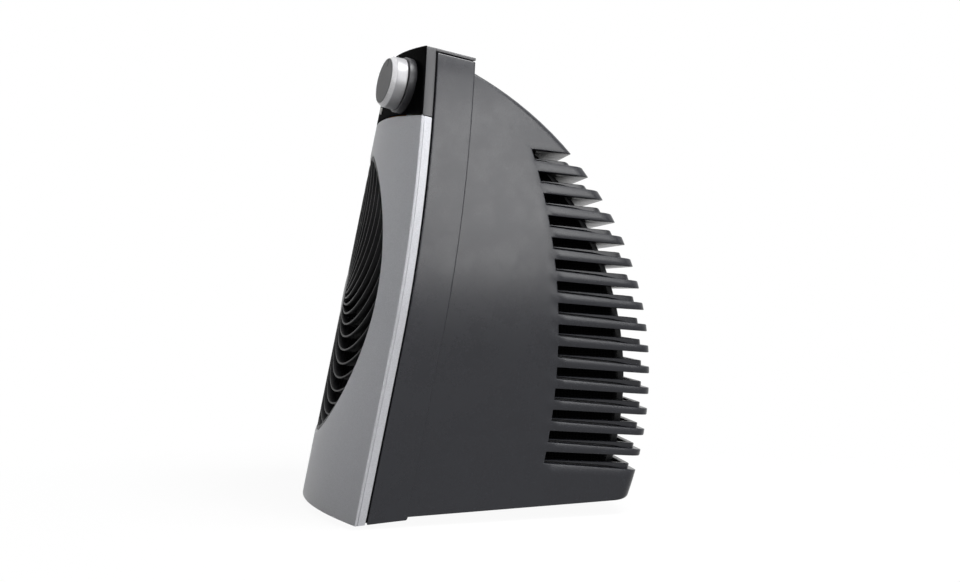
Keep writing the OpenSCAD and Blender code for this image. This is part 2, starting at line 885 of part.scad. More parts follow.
module motor_shaft() {
    color("#b7babd") on_axis(fan_v - clip_t - 2)
        cylinder(r = shaft_r, h = motor_v - fan_v + clip_t + 2 + motor_len + bell_t + shaft_tail);
}
module motor_screws() {
    color("#a9abae") on_axis(spider_v) for (a = [0 : 120 : 240]) rotate([0, 0, a])
        translate([0, -motor_screw_at, 0]) rotate([180, 0, 0]) screw(spider_t + 3.5);
}
module fan_impeller() {
    color("#3a3b3d") on_axis(fan_v) {
        difference() {
            cylinder(r = fan_hub_r, h = fan_deep);
            translate([0, 0, 3]) cylinder(r = fan_hub_r - 2, h = fan_deep);
            translate([0, 0, -1]) cylinder(r = shaft_r, h = fan_deep);
        }
        tube(clip_r, shaft_r, fan_deep - 4);
        for (k = [0 : blade_count - 1]) rotate([0, 0, 360 / blade_count * k]) intersection() {
            translate([0, 0, fan_deep / 2]) rotate([blade_pitch, 0, 0])
                translate([fan_hub_r - 1, -1, -fan_deep]) cube([fan_r, 2, 2 * fan_deep]);
            translate([0, 0, 1]) tube(fan_r, fan_hub_r - 1, fan_deep - 2);
        }
    }
}
module fan_clip() {
    color("#c2c4c7") on_axis(fan_v - clip_t) tube(clip_r, shaft_r, clip_t);
}
module in_pack(v0, v1) { row() leaned() along_v(v0, v1) translate([0, outlet_w]) children(); }
module heater_frame() {
    color("#3b342c") in_pack(pack_v, baffle_v) difference() {
        square([pack_w + 2 * rail_w, pack_h + 2 * bar_t], center = true);
        square([pack_w, pack_h], center = true);
        for (x = [-1, 1], y = [-1, 1]) translate([x * (pack_w + rail_w) / 2, y * (pack_h / 2 - 6)])
            circle(r = screw_r, $fn = 32);
    }
}
module heater_baffle() {
    color("#9a9188") in_pack(baffle_v, baffle_v + baffle_t) difference() {
        circle(r = duct_r - seat_fit);
        square([pack_w - 2, pack_h - 2], center = true);
        for (x = [-1, 1], y = [-1, 1]) translate([x * (pack_w + rail_w) / 2, y * (pack_h / 2 - 6)])
            circle(r = screw_r + seat_fit, $fn = 32);
    }
}
module heater_screws() {
    color("#a9abae") row() leaned() for (x = [-1, 1], y = [-1, 1])
        translate([x * (pack_w + rail_w) / 2, baffle_v + baffle_t, outlet_w + y * (pack_h / 2 - 6)])
            rotate([-90, 0, 0]) screw(baffle_t + 9, 2.8, 1.6);
}
module fin_sheet() {
    step = fin_pitch / 2;
    n = floor((pack_w - 2) / fin_pitch) * 2;
    sheet_v = sheet_t * sqrt(1 + pow(fin_row / step, 2));
    low = [for (j = [0 : n]) [j * step - pack_w / 2 + 1, j % 2 == 0 ? 0 : fin_row - sheet_v]];
    top = [for (j = [n : -1 : 0]) [j * step - pack_w / 2 + 1, j % 2 == 0 ? sheet_v : fin_row]];
    polygon(concat(low, top));
}
module heater_fins() {
    color("#c8cacc") in_pack(pack_v + 0.5, baffle_v - 0.5) for (i = [0 : stone_rows])
        translate([0, i * row_pitch - pack_h / 2]) fin_sheet();
}
module heater_electrodes() {
    color("#a8abae") for (i = [0 : stone_rows - 1], j = [0, 1])
        let (y = i * row_pitch + fin_row + j * (strip_t + stone_t) - pack_h / 2) {
            in_pack(pack_v, baffle_v) translate([-pack_w / 2, y]) square([pack_w, strip_t]);
            if (i == 0 || i == stone_rows - 1) in_pack(baffle_v - 1, baffle_v + 8)
                translate([pack_w / 2 - 14 - 14 * j, y]) square([6.3, strip_t]);
        }
}
module ptc_stones() {
    gap = 3;
    stone_w = (pack_w - 2 - gap * (stones_per_row - 1)) / stones_per_row;
    color("#e9e4d6") in_pack(pack_v, baffle_v) for (i = [0 : stone_rows - 1], k = [0 : stones_per_row - 1])
        translate([1 - pack_w / 2 + k * (stone_w + gap), i * row_pitch + fin_row + strip_t - pack_h / 2])
            square([stone_w, stone_t]);
}
module thermal_cutout() {
    color("#2f3032") {
        in_pack(baffle_v - 6, baffle_v) translate([0, -cutout_at]) circle(r = 8);
        in_pack(baffle_v - 0.8, baffle_v) translate([0, -cutout_at]) square([26, 8], center = true);
        in_pack(baffle_v - 12, baffle_v - 5) for (s = [-1, 1]) translate([s * 5, -cutout_at])
            square([0.8, 5], center = true);
    }
}
module thermal_fuse() {
    color("#cfc9b8") row() leaned() translate([0, baffle_v - fuse_up, outlet_w + cutout_at])
        rotate([0, 90, 0]) {
            cylinder(r = 2, h = 12, center = true);
            cylinder(r = 0.6, h = 40, center = true, $fn = 32);
        }
}
module fuse_clip() {
    color("#9fa2a6") row() leaned() translate([0, baffle_v - fuse_up, outlet_w + cutout_at]) difference() {
        union() {
            rotate([0, 90, 0]) cylinder(r = 3, h = 5, center = true);
            translate([-2.5, 0, -1]) cube([5, fuse_up, 2]);
        }
        rotate([0, 90, 0]) cylinder(r = 2 + run_fit, h = 6, center = true);
    }
}
module tip_switch_frame() {
    color("#e4dfd0") row() translate([tip_x, tip_y, floor_z]) difference() {
        union() {
            translate([-15, -12, 0]) cube([30, 24, 2]);
            for (s = [-1, 1]) translate([s * (cheek + 1) - 1, -6, 0]) cube([2, 12, tip_h]);
        }
        translate([0, 0, tip_h - 5]) rotate([0, 90, 0])
            cylinder(r = pin_r + run_fit, h = 40, center = true, $fn = 48);
    }
}
module tip_pin() {
    color("#b7babd") row() translate([tip_x, tip_y, floor_z + tip_h - 5]) rotate([0, 90, 0])
        cylinder(r = pin_r, h = 2 * cheek + 5, center = true, $fn = 48);
}
module tip_pendulum() {
    color("#8f9296") row() translate([tip_x, tip_y, floor_z + tip_h - 5]) {
        difference() {
            union() {
                rotate([0, 90, 0]) cylinder(r = 4, h = 2 * cheek - 3, center = true, $fn = 48);
                translate([0, 0, -20]) cylinder(r = 1.8, h = 18, $fn = 32);
            }
            rotate([0, 90, 0]) cylinder(r = pin_r + run_fit, h = 40, center = true, $fn = 48);
        }
        translate([0, 0, -25]) cylinder(r = bob_r, h = 9, $fn = 48);
    }
}
module tip_microswitch() {
    color("#2c2d30") row() translate([tip_x, tip_y, floor_z]) {
        translate([-10, 14, 0]) cube([20, 7, 12]);
        for (s = [-1, 0, 1]) translate([s * 6 - 1.5, 17, 11]) cube([3, 0.8, 6]);
    }
}
module terminal_block() {
    color("#ebe7da") row() translate([block_x, block_y, floor_z]) difference() {
        translate([-16, -7, 0]) cube([32, 14, 12]);
        for (i = [-1 : 1]) translate([i * 10, 0, 5]) cylinder(r = 2, h = 20, $fn = 32);
        for (i = [-1 : 1]) translate([i * 10, 0, 4]) rotate([90, 0, 0])
            cylinder(r = wire_r + seat_fit, h = 40, center = true, $fn = 32);
    }
}
module cord_gland() {
    color("#1d1d1f") on_back(gland_x, gland_z) difference() {
        union() {
            translate([0, 0, -wall - seat_fit - 1]) cylinder(r = gland_neck_r, h = wall + seat_fit + 1.5);
            cylinder(r = gland_neck_r + 1.2, h = 1.8);
            translate([0, 0, -wall - seat_fit - 2]) cylinder(r = gland_neck_r + 0.8, h = 1.9);
        }
        translate([0, 0, -10]) cylinder(r = cord_r, h = 20);
    }
}
module wiring() {
    back_of_stat = panel_point(knob_at, knob_w, [0, 0, stat_z - stat_deep - 0.3]);
    back_of_keys = panel_point(key_at, knob_w, [0, 0, switch_z - switch_deep - 0.3]);
    side = duct_r + duct_wall + 14;
    color("#7d2f2a") row() {
        wire([[block_x + 10, block_y - 5, floor_z + 4], [block_x + 10, block_y - 22, floor_z + 6],
            [side, 105, floor_z + 14], [side, 105, 205], back_of_stat + [0, 12, -8], back_of_stat]);
        wire([[block_x - 10, block_y - 5, floor_z + 4], [block_x - 10, block_y - 12, floor_z + 6],
            [tip_x, tip_y + 40, floor_z + 8], [-side, 105, floor_z + 40], [-side, 105, 205],
            back_of_keys + [0, 10, -8], back_of_keys]);
    }
}
rear_housing();
top_cover();
control_panel();
front_bezel();
outlet_grille();
grille_hub();
dial_ring();
control_knob();
knob_cap();
thermostat_body();
thermostat_shaft();
thermostat_nut();
key_fan();
key_low();
key_high();
key_switch();
key_springs();
pilot_lens();
pilot_lamp();
base_plate();
rubber_feet();
case_screws();
fan_shroud();
shroud_screws();
motor_can();
motor_end_bell();
motor_stator();
motor_armature();
motor_shaft();
motor_bushes();
motor_screws();
fan_impeller();
fan_clip();
heater_frame();
heater_baffle();
heater_screws();
heater_fins();
heater_electrodes();
ptc_stones();
thermal_cutout();
thermal_fuse();
fuse_clip();
tip_switch_frame();
tip_pin();
tip_pendulum();
tip_microswitch();
terminal_block();
cord_gland();
wiring();
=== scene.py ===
"""A small ceramic space heater: its visible pieces, finishes, light and camera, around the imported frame."""

import json
import logging
import math
from collections.abc import Callable, Sequence
from dataclasses import dataclass
from enum import Enum

import bmesh
import bpy
import numpy as np
from mathutils import Matrix, Vector


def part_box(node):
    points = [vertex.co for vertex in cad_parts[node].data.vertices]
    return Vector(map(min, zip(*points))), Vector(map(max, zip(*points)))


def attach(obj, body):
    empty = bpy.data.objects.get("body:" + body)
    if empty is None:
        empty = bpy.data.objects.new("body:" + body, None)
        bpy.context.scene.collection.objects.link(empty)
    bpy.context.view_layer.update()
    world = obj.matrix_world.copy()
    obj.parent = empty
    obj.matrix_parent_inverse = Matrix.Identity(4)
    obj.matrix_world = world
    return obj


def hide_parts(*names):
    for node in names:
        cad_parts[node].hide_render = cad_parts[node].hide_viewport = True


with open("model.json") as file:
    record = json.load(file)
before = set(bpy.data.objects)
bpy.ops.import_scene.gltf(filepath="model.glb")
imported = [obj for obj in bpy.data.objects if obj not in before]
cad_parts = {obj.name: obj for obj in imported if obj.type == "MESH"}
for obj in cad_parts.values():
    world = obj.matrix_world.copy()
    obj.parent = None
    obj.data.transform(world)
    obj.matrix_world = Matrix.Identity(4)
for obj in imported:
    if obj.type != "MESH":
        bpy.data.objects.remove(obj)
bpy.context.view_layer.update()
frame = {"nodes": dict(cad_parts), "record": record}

LOG = logging.getLogger("heater")
MM = 0.001
CASING = "casing"
QUARTER = math.pi / 2
SHARP = math.radians(35.0)
COAT_GLOSS = 0.05
Rgb = tuple[float, float, float]
Array = np.ndarray
Line = Callable[[Array], Array]
Profile = Sequence[tuple[float, float]]
Corners = Sequence[tuple[float, float, float]]
Inputs = dict[int | str, object]


# ---- node trees


def arithmetic(operation: str, first: bool = True) -> Callable[["Value", object], "Value"]:
    """Makes an operator of Value that adds a Math node, with the value as its first or second input."""
    return lambda value, other: value.math(operation, other, first)


class Value:
    """A number on a node's output socket; its operators add Math nodes."""

    def __init__(self, graph: "Graph", socket: bpy.types.NodeSocket) -> None:
        """Keeps the socket and the graph that it belongs to."""
        self.graph = graph
        self.socket = socket

    def math(self, operation: str, other: "Value | float | None" = None, first: bool = True) -> "Value":
        """Adds a Math node.

        Args:
            operation: The Math node's operation.
            other: The second number, where the operation takes one.
            first: Whether this value is the node's first input.

        Returns:
            The node's result.
        """
        given = [self] if other is None else [self, other] if first else [other, self]
        return self.graph.value("ShaderNodeMath", dict(enumerate(given)), operation=operation)

    __add__ = __radd__ = arithmetic("ADD")
    __sub__, __rsub__ = arithmetic("SUBTRACT"), arithmetic("SUBTRACT", first=False)
    __mul__ = __rmul__ = arithmetic("MULTIPLY")
    __truediv__ = arithmetic("DIVIDE")
    __pow__ = arithmetic("POWER")


class Graph:
    """Adds nodes to one shader or geometry tree."""

    family = "ShaderNode"

    def __init__(self, tree: bpy.types.NodeTree) -> None:
        """Keeps the tree."""
        self.tree = tree

    def node(self, kind: str, inputs: Inputs | None = None, **settings: object) -> bpy.types.Node:
        """Adds a node, sets it up, and fills its sockets.

        Args:
            kind: The node's type, with or without its family.
            inputs: A number, colour, material, socket or Value for each input, by name or place.
            settings: The node's own properties.

        Returns:
            The new node.
        """
        node = self.tree.nodes.new(kind if "Node" in kind else self.family + kind)
        for key, setting in settings.items():
            setattr(node, key, setting)
        for key, given in (inputs or {}).items():
            self.feed(node.inputs[key], given)
        return node

    def feed(self, socket: bpy.types.NodeSocket, given: object) -> None:
        """Links a socket or Value to an input, or sets its constant.

        Args:
            socket: The input.
            given: What goes in.
        """
        source = given.socket if isinstance(given, Value) else given
        if isinstance(source, bpy.types.NodeSocket):
            self.tree.links.new(source, socket)
        else:
            socket.default_value = (*given, 1) if socket.type == "RGBA" else given

    def value(
        self, kind: str, inputs: Inputs | None = None, output: int | str = 0, **settings: object
    ) -> Value:
        """Adds a node as node() does, and returns one of its outputs."""
        return Value(self, self.node(kind, inputs, **settings).outputs[output])

    def noise(self, place: Value, scale: float, detail: float = 2.0, rough: float = 0.5) -> Value:
        """Adds a noise texture and returns its level, from 0 to 1."""
        inputs = {"Vector": place, "Scale": scale, "Detail": detail, "Roughness": rough}
        return self.value("TexNoise", inputs, "Fac")

    def ramp(self, level: Value, start: float, end: float, low: float = 0.0, high: float = 1.0) -> Value:
        """Maps a level through a grey ramp.

        Args:
            level: What goes in.
            start: The level at which the ramp begins.
            end: The level at which it ends.
            low: What comes out at the start.
            high: What comes out at the end.

        Returns:
            The ramp's grey.
        """
        node = self.node("ValToRGB", {"Fac": level})
        for element, place, grey in zip(node.color_ramp.elements, (start, end), (low, high)):
            element.position = place
            element.color = (grey, grey, grey, 1)
        return Value(self, node.outputs[0])

    def mix(self, factor: Value, a: Rgb, b: Rgb) -> Value:
        """Mixes two colours."""
        return self.value("Mix", {0: factor, 6: a, 7: b}, 2, data_type="RGBA")

    def bump(self, height: Value, depth: float, **under: Value) -> Value:
        """Adds a bump of a depth in millimetres, over another one where it is given as Normal."""
        return self.value("Bump", {"Strength": 1.0, "Distance": depth * MM, "Height": height, **under})

    def apart(self, vector: Value) -> list[Value]:
        """Splits a vector in three numbers."""
        return [Value(self, part) for part in self.node("ShaderNodeSeparateXYZ", {0: vector}).outputs]

    def joined(self, *parts: Value | float) -> Value:
        """Makes a vector of three numbers."""
        return self.value("ShaderNodeCombineXYZ", dict(enumerate(parts)))


def blank(owner: bpy.types.Material | bpy.types.World) -> Graph:
    """Empties a material's or a world's node tree and returns it."""
    owner.use_nodes = True
    owner.node_tree.nodes.clear()
    return Graph(owner.node_tree)


# ---- finishes


def scaled(colour: Rgb, share: float) -> Rgb:
    """Returns a colour made darker or lighter."""
    return colour[0] * share, colour[1] * share, colour[2] * share


@dataclass(frozen=True)
class Finish:
    """A surface finish: the frame's slot that it comes from, its colour as RRGGBB, and its gloss."""

    name: str
    slot: str
    code: str
    gloss: float = 0.4
    metal: float = 0.0
    coat: float = 0.0
    specular: float = 0.25

    @property
    def colour(self) -> Rgb:
        """The colour's linear red, green and blue."""
        parts = [int(self.code[i : i + 2], 16) / 255 for i in (0, 2, 4)]
        red, green, blue = (p / 12.92 if p <= 0.04045 else ((p + 0.055) / 1.055) ** 2.4 for p in parts)
        return red, green, blue

    def material(self) -> bpy.types.Material:
        """Gives the finish's material, made on first use.

        Returns:
            The material.
        """
        known = bpy.data.materials.get(self.name)
        if known is not None:
            return known
        made = bpy.data.materials.new(self.name)
        graph = blank(made)
        inputs = {"Roughness": self.gloss, "Metallic": self.metal, "Coat Weight": self.coat}
        inputs |= {"Coat Roughness": COAT_GLOSS, "Specular IOR Level": self.specular}
        inputs |= self.detail(graph, graph.value("TexCoord", output="Object"))
        graph.node("OutputMaterial", {"Surface": graph.value("BsdfPrincipled", inputs)})
        made.diffuse_color = (*self.colour, 1)
        return made

    def detail(self, graph: Graph, place: Value) -> Inputs:
        """Makes what feeds the shader's sockets apart from the constants.

        Args:
            graph: The material's tree.
            place: Object coordinates.

        Returns:
            A value for each input of the shader that varies.
        """
        raise NotImplementedError

    def shaded(self, graph: Graph, level: Value, amount: float) -> Value:
        """Makes the colour darker and lighter by a level, each way by a share of the colour."""
        dark, light = scaled(self.colour, 1 - amount), scaled(self.colour, 1 + amount)
        return graph.mix(graph.ramp(level, 0.3, 0.7), dark, light)


@dataclass(frozen=True)
class Moulded(Finish):
    """Moulded plastic with a fine spark-eroded grain, slow colour drift, and smears of handling."""

    grain: float = 0.0006
    grain_depth: float = 0.012

    def detail(self, graph: Graph, place: Value) -> Inputs:
        """Grain, drift and smears, as in Finish.detail()."""
        slow = graph.noise(place, 14.0, 5.0, 0.6)
        speck = graph.noise(place, 1.6 / self.grain, 2.0, 0.7)
        smear = graph.ramp(graph.noise(place, 38.0, 6.0, 0.65), 0.42, 0.72)
        fine = graph.bump(speck, self.grain_depth)
        return {
            "Base Color": self.shaded(graph, slow * 0.65 + speck * 0.35, 0.07),
            "Roughness": smear * -0.07 + speck * 0.1 + (self.gloss - 0.03),
            "Normal": graph.bump(graph.noise(place, 45.0), 0.03, Normal=fine),
        }


@dataclass(frozen=True)
class Lacquer(Finish):
    """Piano-black acrylic: deep colour, a clear coat with fine peel, and a little dust."""

    dust: Rgb = (0.35, 0.35, 0.36)

    def detail(self, graph: Graph, place: Value) -> Inputs:
        """Dust, wipe marks and peel, as in Finish.detail()."""
        motes = graph.ramp(graph.noise(place, 2200.0, 1.0), 0.74, 0.8)
        wipe = graph.ramp(graph.noise(place, 26.0, 7.0, 0.7), 0.45, 0.75)
        return {
            "Base Color": graph.mix(motes * 0.25, self.colour, self.dust),
            "Roughness": wipe * 0.09 + self.gloss,
            "Coat Weight": wipe * -0.01 + self.coat,
            "Normal": graph.bump(graph.noise(place, 240.0), 0.008),
        }


@dataclass(frozen=True)
class FlakePaint(Finish):
    """Silver paint: fine bright flakes in a satin base."""

    flake: float = 0.00035

    def detail(self, graph: Graph, place: Value) -> Inputs:
        """Flakes that change colour, gloss and tilt, as in Finish.detail()."""
        cells = {"Vector": place, "Scale": 1 / self.flake, "Randomness": 1.0}
        sparkle = graph.ramp(graph.value("TexVoronoi", cells, "Color", feature="F1"), 0.15, 0.85)
        slow = graph.noise(place, 11.0, 4.0)
        return {
            "Base Color": self.shaded(graph, sparkle * 0.5 + slow * 0.5, 0.1),
            "Roughness": sparkle * 0.12 + slow * 0.06 + (self.gloss - 0.09),
            "Metallic": sparkle * 0.15 + (self.metal - 0.08),
            "Normal": graph.bump(sparkle, 0.012),
        }


class Grain(Enum):
    """Which way a drawn or rolled metal's lines run."""

    DEEP = (1600.0, 60.0, 1600.0)
    UP = (1600.0, 1600.0, 60.0)
    NONE = (700.0, 700.0, 700.0)


@dataclass(frozen=True)
class Drawn(Finish):
    """Rolled, drawn or turned metal with fine lines and slow tarnish."""

    grain: Grain = Grain.NONE
    tarnish: float = 0.12

    def detail(self, graph: Graph, place: Value) -> Inputs:
        """Lines and tarnish, as in Finish.detail()."""
        stretched = graph.value("Mapping", {"Vector": place, "Scale": self.grain.value})
        lines = graph.noise(stretched, 1.0, 3.0, 0.6)
        slow = graph.noise(place, 60.0, 5.0, 0.6)
        return {
            "Base Color": self.shaded(graph, lines * 0.5 + slow * 0.5, self.tarnish),
            "Roughness": lines * 0.14 + slow * 0.12 + (self.gloss - 0.12),
            "Normal": graph.bump(lines, 0.01),
        }


@dataclass(frozen=True)
class Stone(Finish):
    """Fired ceramic, board or rubber: matt, mottled and slightly rough."""

    mottle: float = 0.15
    pore: float = 0.03

    def detail(self, graph: Graph, place: Value) -> Inputs:
        """Mottling and pores, as in Finish.detail()."""
        coarse = graph.noise(place, 90.0, 5.0, 0.65)
        fine = graph.noise(place, 900.0, 3.0, 0.7)
        return {
            "Base Color": self.shaded(graph, coarse * 0.6 + fine * 0.4, self.mottle),
            "Roughness": fine * 0.15 + (self.gloss - 0.07),
            "Normal": graph.bump(fine, self.pore),
        }


@dataclass(frozen=True)
class Weave(Finish):
    """A fine woven screen, drawn as threads that pass over each other, with painted shade between them."""

    pitch: float = 1.6

    def detail(self, graph: Graph, place: Value) -> Inputs:
        """Threads and painted shade between them, as in Finish.detail()."""
        x, y, z = graph.apart(place)
        turns = 2 * math.pi / (self.pitch * MM)
        across, up = (((along * turns).math("SINE") * 0.5 + 0.5) for along in (x + y, z))
        thread = across.math("MAXIMUM", up)
        tone = graph.ramp(thread, 0.55, 0.9)
        return {
            # Between the threads the colour drops to 40 %: painted shade.
            "Base Color": graph.mix(tone, scaled(self.colour, 0.4), self.colour),
            "Roughness": 0.9 - tone * 0.25,
            "Normal": graph.bump(thread, 0.2),
        }


GRAPHITE = Moulded(
    "housing_graphite", "graphite_plastic", "1f2025", 0.28, specular=0.32, grain=0.0007, grain_depth=0.009
)
PANEL_BLACK = Lacquer("gloss_black_acrylic", "gloss_black", "050506", 0.07, coat=0.022, specular=0.0)
SILVER = FlakePaint("silver_flake_paint", "silver_plastic", "b4b5b9", 0.36, metal=0.1, specular=0.06)
GRILLE_BLACK = Moulded(
    "grille_black_plastic", "black_plastic", "0b0b0d", 0.42, specular=0.12, grain_depth=0.008
)
RING_GREY = Moulded("ring_grey_plastic", "dark_plastic", "333336", 0.34, grain_depth=0.008)
KNOB_SILVER = FlakePaint("knob_satin_silver", "satin_silver", "949496", 0.38, metal=0.4, flake=0.00012)
KNOB_FACE = Moulded("knob_face_grey", "grey_plastic", "303032", 0.38, grain_depth=0.01)
LENS = Moulded("pilot_lens_plastic", "lens", "a9a8a6", 0.18, coat=0.5, grain_depth=0.003)
RUBBER = Stone("foot_rubber", "rubber", "1d1d1e", 0.72, mottle=0.12)
STEEL = Drawn("zinc_plated_steel", "steel", "b4b6b8", 0.34, 0.95)
MAIN_FINISHES: tuple[Finish, ...] = (
    GRAPHITE, PANEL_BLACK, SILVER, GRILLE_BLACK, RING_GREY, KNOB_SILVER, KNOB_FACE, LENS, RUBBER, STEEL,
    Moulded("switch_cream_plastic", "cream_plastic", "d6cfba", 0.45),
    Moulded("lamp_amber_glass", "amber", "c9803a", 0.15, coat=0.8, grain_depth=0.002),
    Drawn("zinc_casting", "zinc", "9a9c9e", 0.45, 0.9, tarnish=0.18),
    Drawn("stator_iron", "iron", "6b6560", 0.5, 0.85, grain=Grain.DEEP, tarnish=0.2),
    Drawn("armature_copper", "copper", "b56b45", 0.35, 0.95, grain=Grain.DEEP, tarnish=0.15),
    Drawn("bearing_bronze", "bronze", "a7834e", 0.42, 0.9, tarnish=0.2),
    Stone("phenolic_moulding", "phenolic", "3b2c22", 0.5, mottle=0.2, pore=0.02),
    Stone("mica_board", "mica", "8f8468", 0.45, mottle=0.22),
    Drawn("heater_fin_metal", "fin_aluminium", "c2c4c7", 0.3, 0.95, grain=Grain.UP, tarnish=0.1),
    Stone("heater_ceramic", "ceramic", "b9a894", 0.62),
    Moulded("wire_red_silicone", "wire_red", "a1322c", 0.5, grain_depth=0.004),
)
BASE_GREY = Moulded("base_grey_plastic", "graphite_plastic", "3b3b40", 0.5, grain=0.0009, grain_depth=0.02)
# A lighter copy of the housing's graphite for the cover's strips and plate: partly painted light, for the
# light they catch from above.
TOP_GREY_PAINTED_LIGHT = Moulded(
    "top_cover_grey_painted_light", "graphite_plastic", "3e3e40", 0.34, specular=0.3, grain=0.0007, grain_depth=0.008
)
KEY_GREY = Moulded("key_grey_plastic", "dark_plastic", "26272a")
# A lighter copy of the knob's silver, laid over the knob's rounded edge as a painted highlight.
KNOB_PAINTED_HIGHLIGHT = FlakePaint("knob_painted_highlight_satin", "satin_silver", "bebec0", 0.3, metal=0.35, flake=0.00012)
# The screen's near-black colour is partly its own and partly painted shade of the slots' insides.
SCREEN = Weave("intake_screen_weave", "black_plastic", "09090b", 0.8, specular=0.05)
# Near-black with almost no shine, for the lip in the seam round the block: painted shade that keeps the seam
# dark.
SHADOW_BLACK = Moulded("seam_painted_shade_black", "black_plastic", "060607", 0.7, specular=0.05)


# ---- the casing's surfaces


@dataclass
class Casing:
    """The casing's surfaces and the sizes that several sub-assemblies share, in millimetres.

    x runs across, y to the back and z up, with y = 0 at the foot of the front. The leaned axes are x, v for
    the depth behind the front's middle, and w for the height along the front.
    """

    width: float = 259.4
    gap: float = 4.5
    lean: float = math.radians(11.4)
    bow: float = 297.6
    taper: float = math.radians(13.9)
    flare: float = math.radians(2.83)
    side_tuck: float = 26.24
    side_z: float = 129.0
    back_over: float = 6.0
    back_z: float = 86.0
    toe: float = 2.2
    toe_deep: float = 38.0
    panel_h: float = 43.0
    panel_arch: float = 1.9
    control_up: float = 19.1
    strip: float = 7.0
    seam: float = 1.2
    hairline: float = 0.35
    wall: float = 2.4
    block: float = 33.66
    cover: float = 1.8
    cover_gap: float = 0.6

    def __post_init__(self) -> None:
        """Reads the overall sizes from the frame and works out what follows from them."""
        depth = round((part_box("rear_housing")[1].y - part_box("front_bezel")[0].y) / MM, 1)
        height = round(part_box("top_cover")[1].z / MM, 1)
        rise = height - self.side_z
        self.side_r = (rise**2 + self.side_tuck**2) / (2 * self.side_tuck)
        self.back_r = height + self.back_over - self.back_z
        self.front_y = self.gap * math.tan(self.lean)
        self.mid_y = self.front_y + depth / 2
        self.back_c = self.front_y + depth - self.back_r
        self.top_w = height / math.cos(self.lean)
        self.panel_w = self.top_w - self.panel_h
        self.control_w = self.panel_w + self.control_up
        sag = self.bow - math.sqrt(self.bow**2 - (self.width / 2) ** 2)
        corner = self.front_y + sag / math.cos(self.lean)
        self.side_low = self.width / 2 * math.cos(self.taper) + corner * math.sin(self.taper)
        self.to_row = Matrix.Scale(MM, 4) @ Matrix.Translation((0, -self.mid_y, 0))

    def side(self, y: Array, z: Array, off: float = 0.0) -> Array:
        """Half the casing's width.

        Args:
            y: The depth.
            z: The height.
            off: How far inside the surface it is taken.

        Returns:
            The side's x.
        """
        low_z = self.side_z - self.side_r * math.sin(self.flare)
        low_x = self.side_low + (low_z - self.gap) * math.tan(self.flare)
        centre = low_x - self.side_r * math.cos(self.flare)
        line = self.side_low + (z - self.gap) * math.tan(self.flare) - off / math.cos(self.flare)
        rest = np.maximum((self.side_r - off) ** 2 - (z - self.side_z) ** 2, 1.0)
        reach = np.where(z < low_z + off * math.sin(self.flare), line, centre + np.sqrt(rest))
        return (reach - y * math.sin(self.taper)) / math.cos(self.taper)

    def back(self, z: Array, off: float = 0.0) -> Array:
        """The back's depth at a height, moved in by off."""
        return self.back_c + np.sqrt(np.maximum((self.back_r - off) ** 2 - (z - self.back_z) ** 2, 0.0))

    def bowed(self, x: Array) -> Array:
        """How far the bowed front has gone back at x."""
        return self.bow - np.sqrt(self.bow**2 - x**2)

    def upright(self, x: Array, v: Array, w: Array) -> Array:
        """Turns points of the leaned axes into the upright ones.

        Args:
            x: How far across they lie.
            v: How far behind the front's middle.
            w: How far up along the front.

        Returns:
            The points.
        """
        c, s = math.cos(self.lean), math.sin(self.lean)
        x, v, w = np.broadcast_arrays(x, v, w)
        return np.stack([x, v * c + w * s, w * c - v * s], axis=-1)

    def at_front(self, x: Array, w: Array, depth: float) -> Array:
        """Points across and up the front, at a depth behind its bow."""
        return self.upright(x, self.bowed(x) + depth, w)

    def behind(self, point: Vector) -> float:
        """How far a point lies behind the bowed front."""
        v = point.y * math.cos(self.lean) - point.z * math.sin(self.lean)
        return v - float(self.bowed(np.array(point.x)))

    def reach(self, w: float, depth: float, off: float = 0.0) -> float:
        """Half the casing's width, found from its place behind the bowed front.

        Args:
            w: The height along the front.
            depth: How far behind the front's bow.
            off: How far inside the surface it is taken.

        Returns:
            The side's x.
        """
        x = np.array(self.width / 2)
        for _ in range(10):
            _, y, z = self.at_front(x, np.array(w), depth)
            x = self.side(y, z, off)
        return float(x)

    def foot_w(self, x: Array, depth: float, rise: float) -> Array:
        """The height along the front of the foot, which is lowest at the front's corners, with a rise."""
        toe = self.toe * np.abs(x / self.width * 2) ** 3 * max(1.0 - depth / self.toe_deep, 0.0)
        return (self.gap - toe + rise + (self.bowed(x) + depth) * math.sin(self.lean)) / math.cos(self.lean)

    def panel_place(self, at: float, w: float) -> Matrix:
        """The place of a control on the bowed panel: z points out of it and y up along it.

        Args:
            at: The turn round the bow, in degrees.
            w: The height along the leaned front.

        Returns:
            The matrix from the control's axes to the casing's.
        """
        lean, out = Matrix.Rotation(-self.lean, 4, "X"), Matrix.Rotation(QUARTER, 4, "X")
        around = Matrix.Translation((0, self.bow, w)) @ Matrix.Rotation(math.radians(at), 4, "Z")
        return lean @ around @ Matrix.Translation((0, -self.bow, 0)) @ out

    def axis_place(self, w: float) -> Matrix:
        """The place of something on the fan's axis: z points out of the front."""
        lean, out = Matrix.Rotation(-self.lean, 4, "X"), Matrix.Rotation(QUARTER, 4, "X")
        return lean @ Matrix.Translation((0, 0, w)) @ out


CASE = Casing()


# ---- mesh making


def dress(
    mesh: bpy.types.Mesh, name: str, finish: Finish, nodes: Sequence[str] = (), body: str = CASING
) -> None:
    """Makes a piece of a mesh that is in metres and in the frame.

    Args:
        mesh: The mesh.
        name: The piece's name.
        finish: Its finish.
        nodes: The nodes that it stands for.
        body: The body that it moves with.
    """
    mesh.polygons.foreach_set("use_smooth", [True] * len(mesh.polygons))
    mesh.set_sharp_from_angle(angle=SHARP)
    mesh.materials.clear()
    mesh.materials.append(finish.material())
    piece = bpy.data.objects.new(name, mesh)
    bpy.context.scene.collection.objects.link(piece)
    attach(piece, body)
    if nodes:
        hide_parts(*nodes)
    LOG.info("%s on %s, %d faces", name, body, len(mesh.polygons))


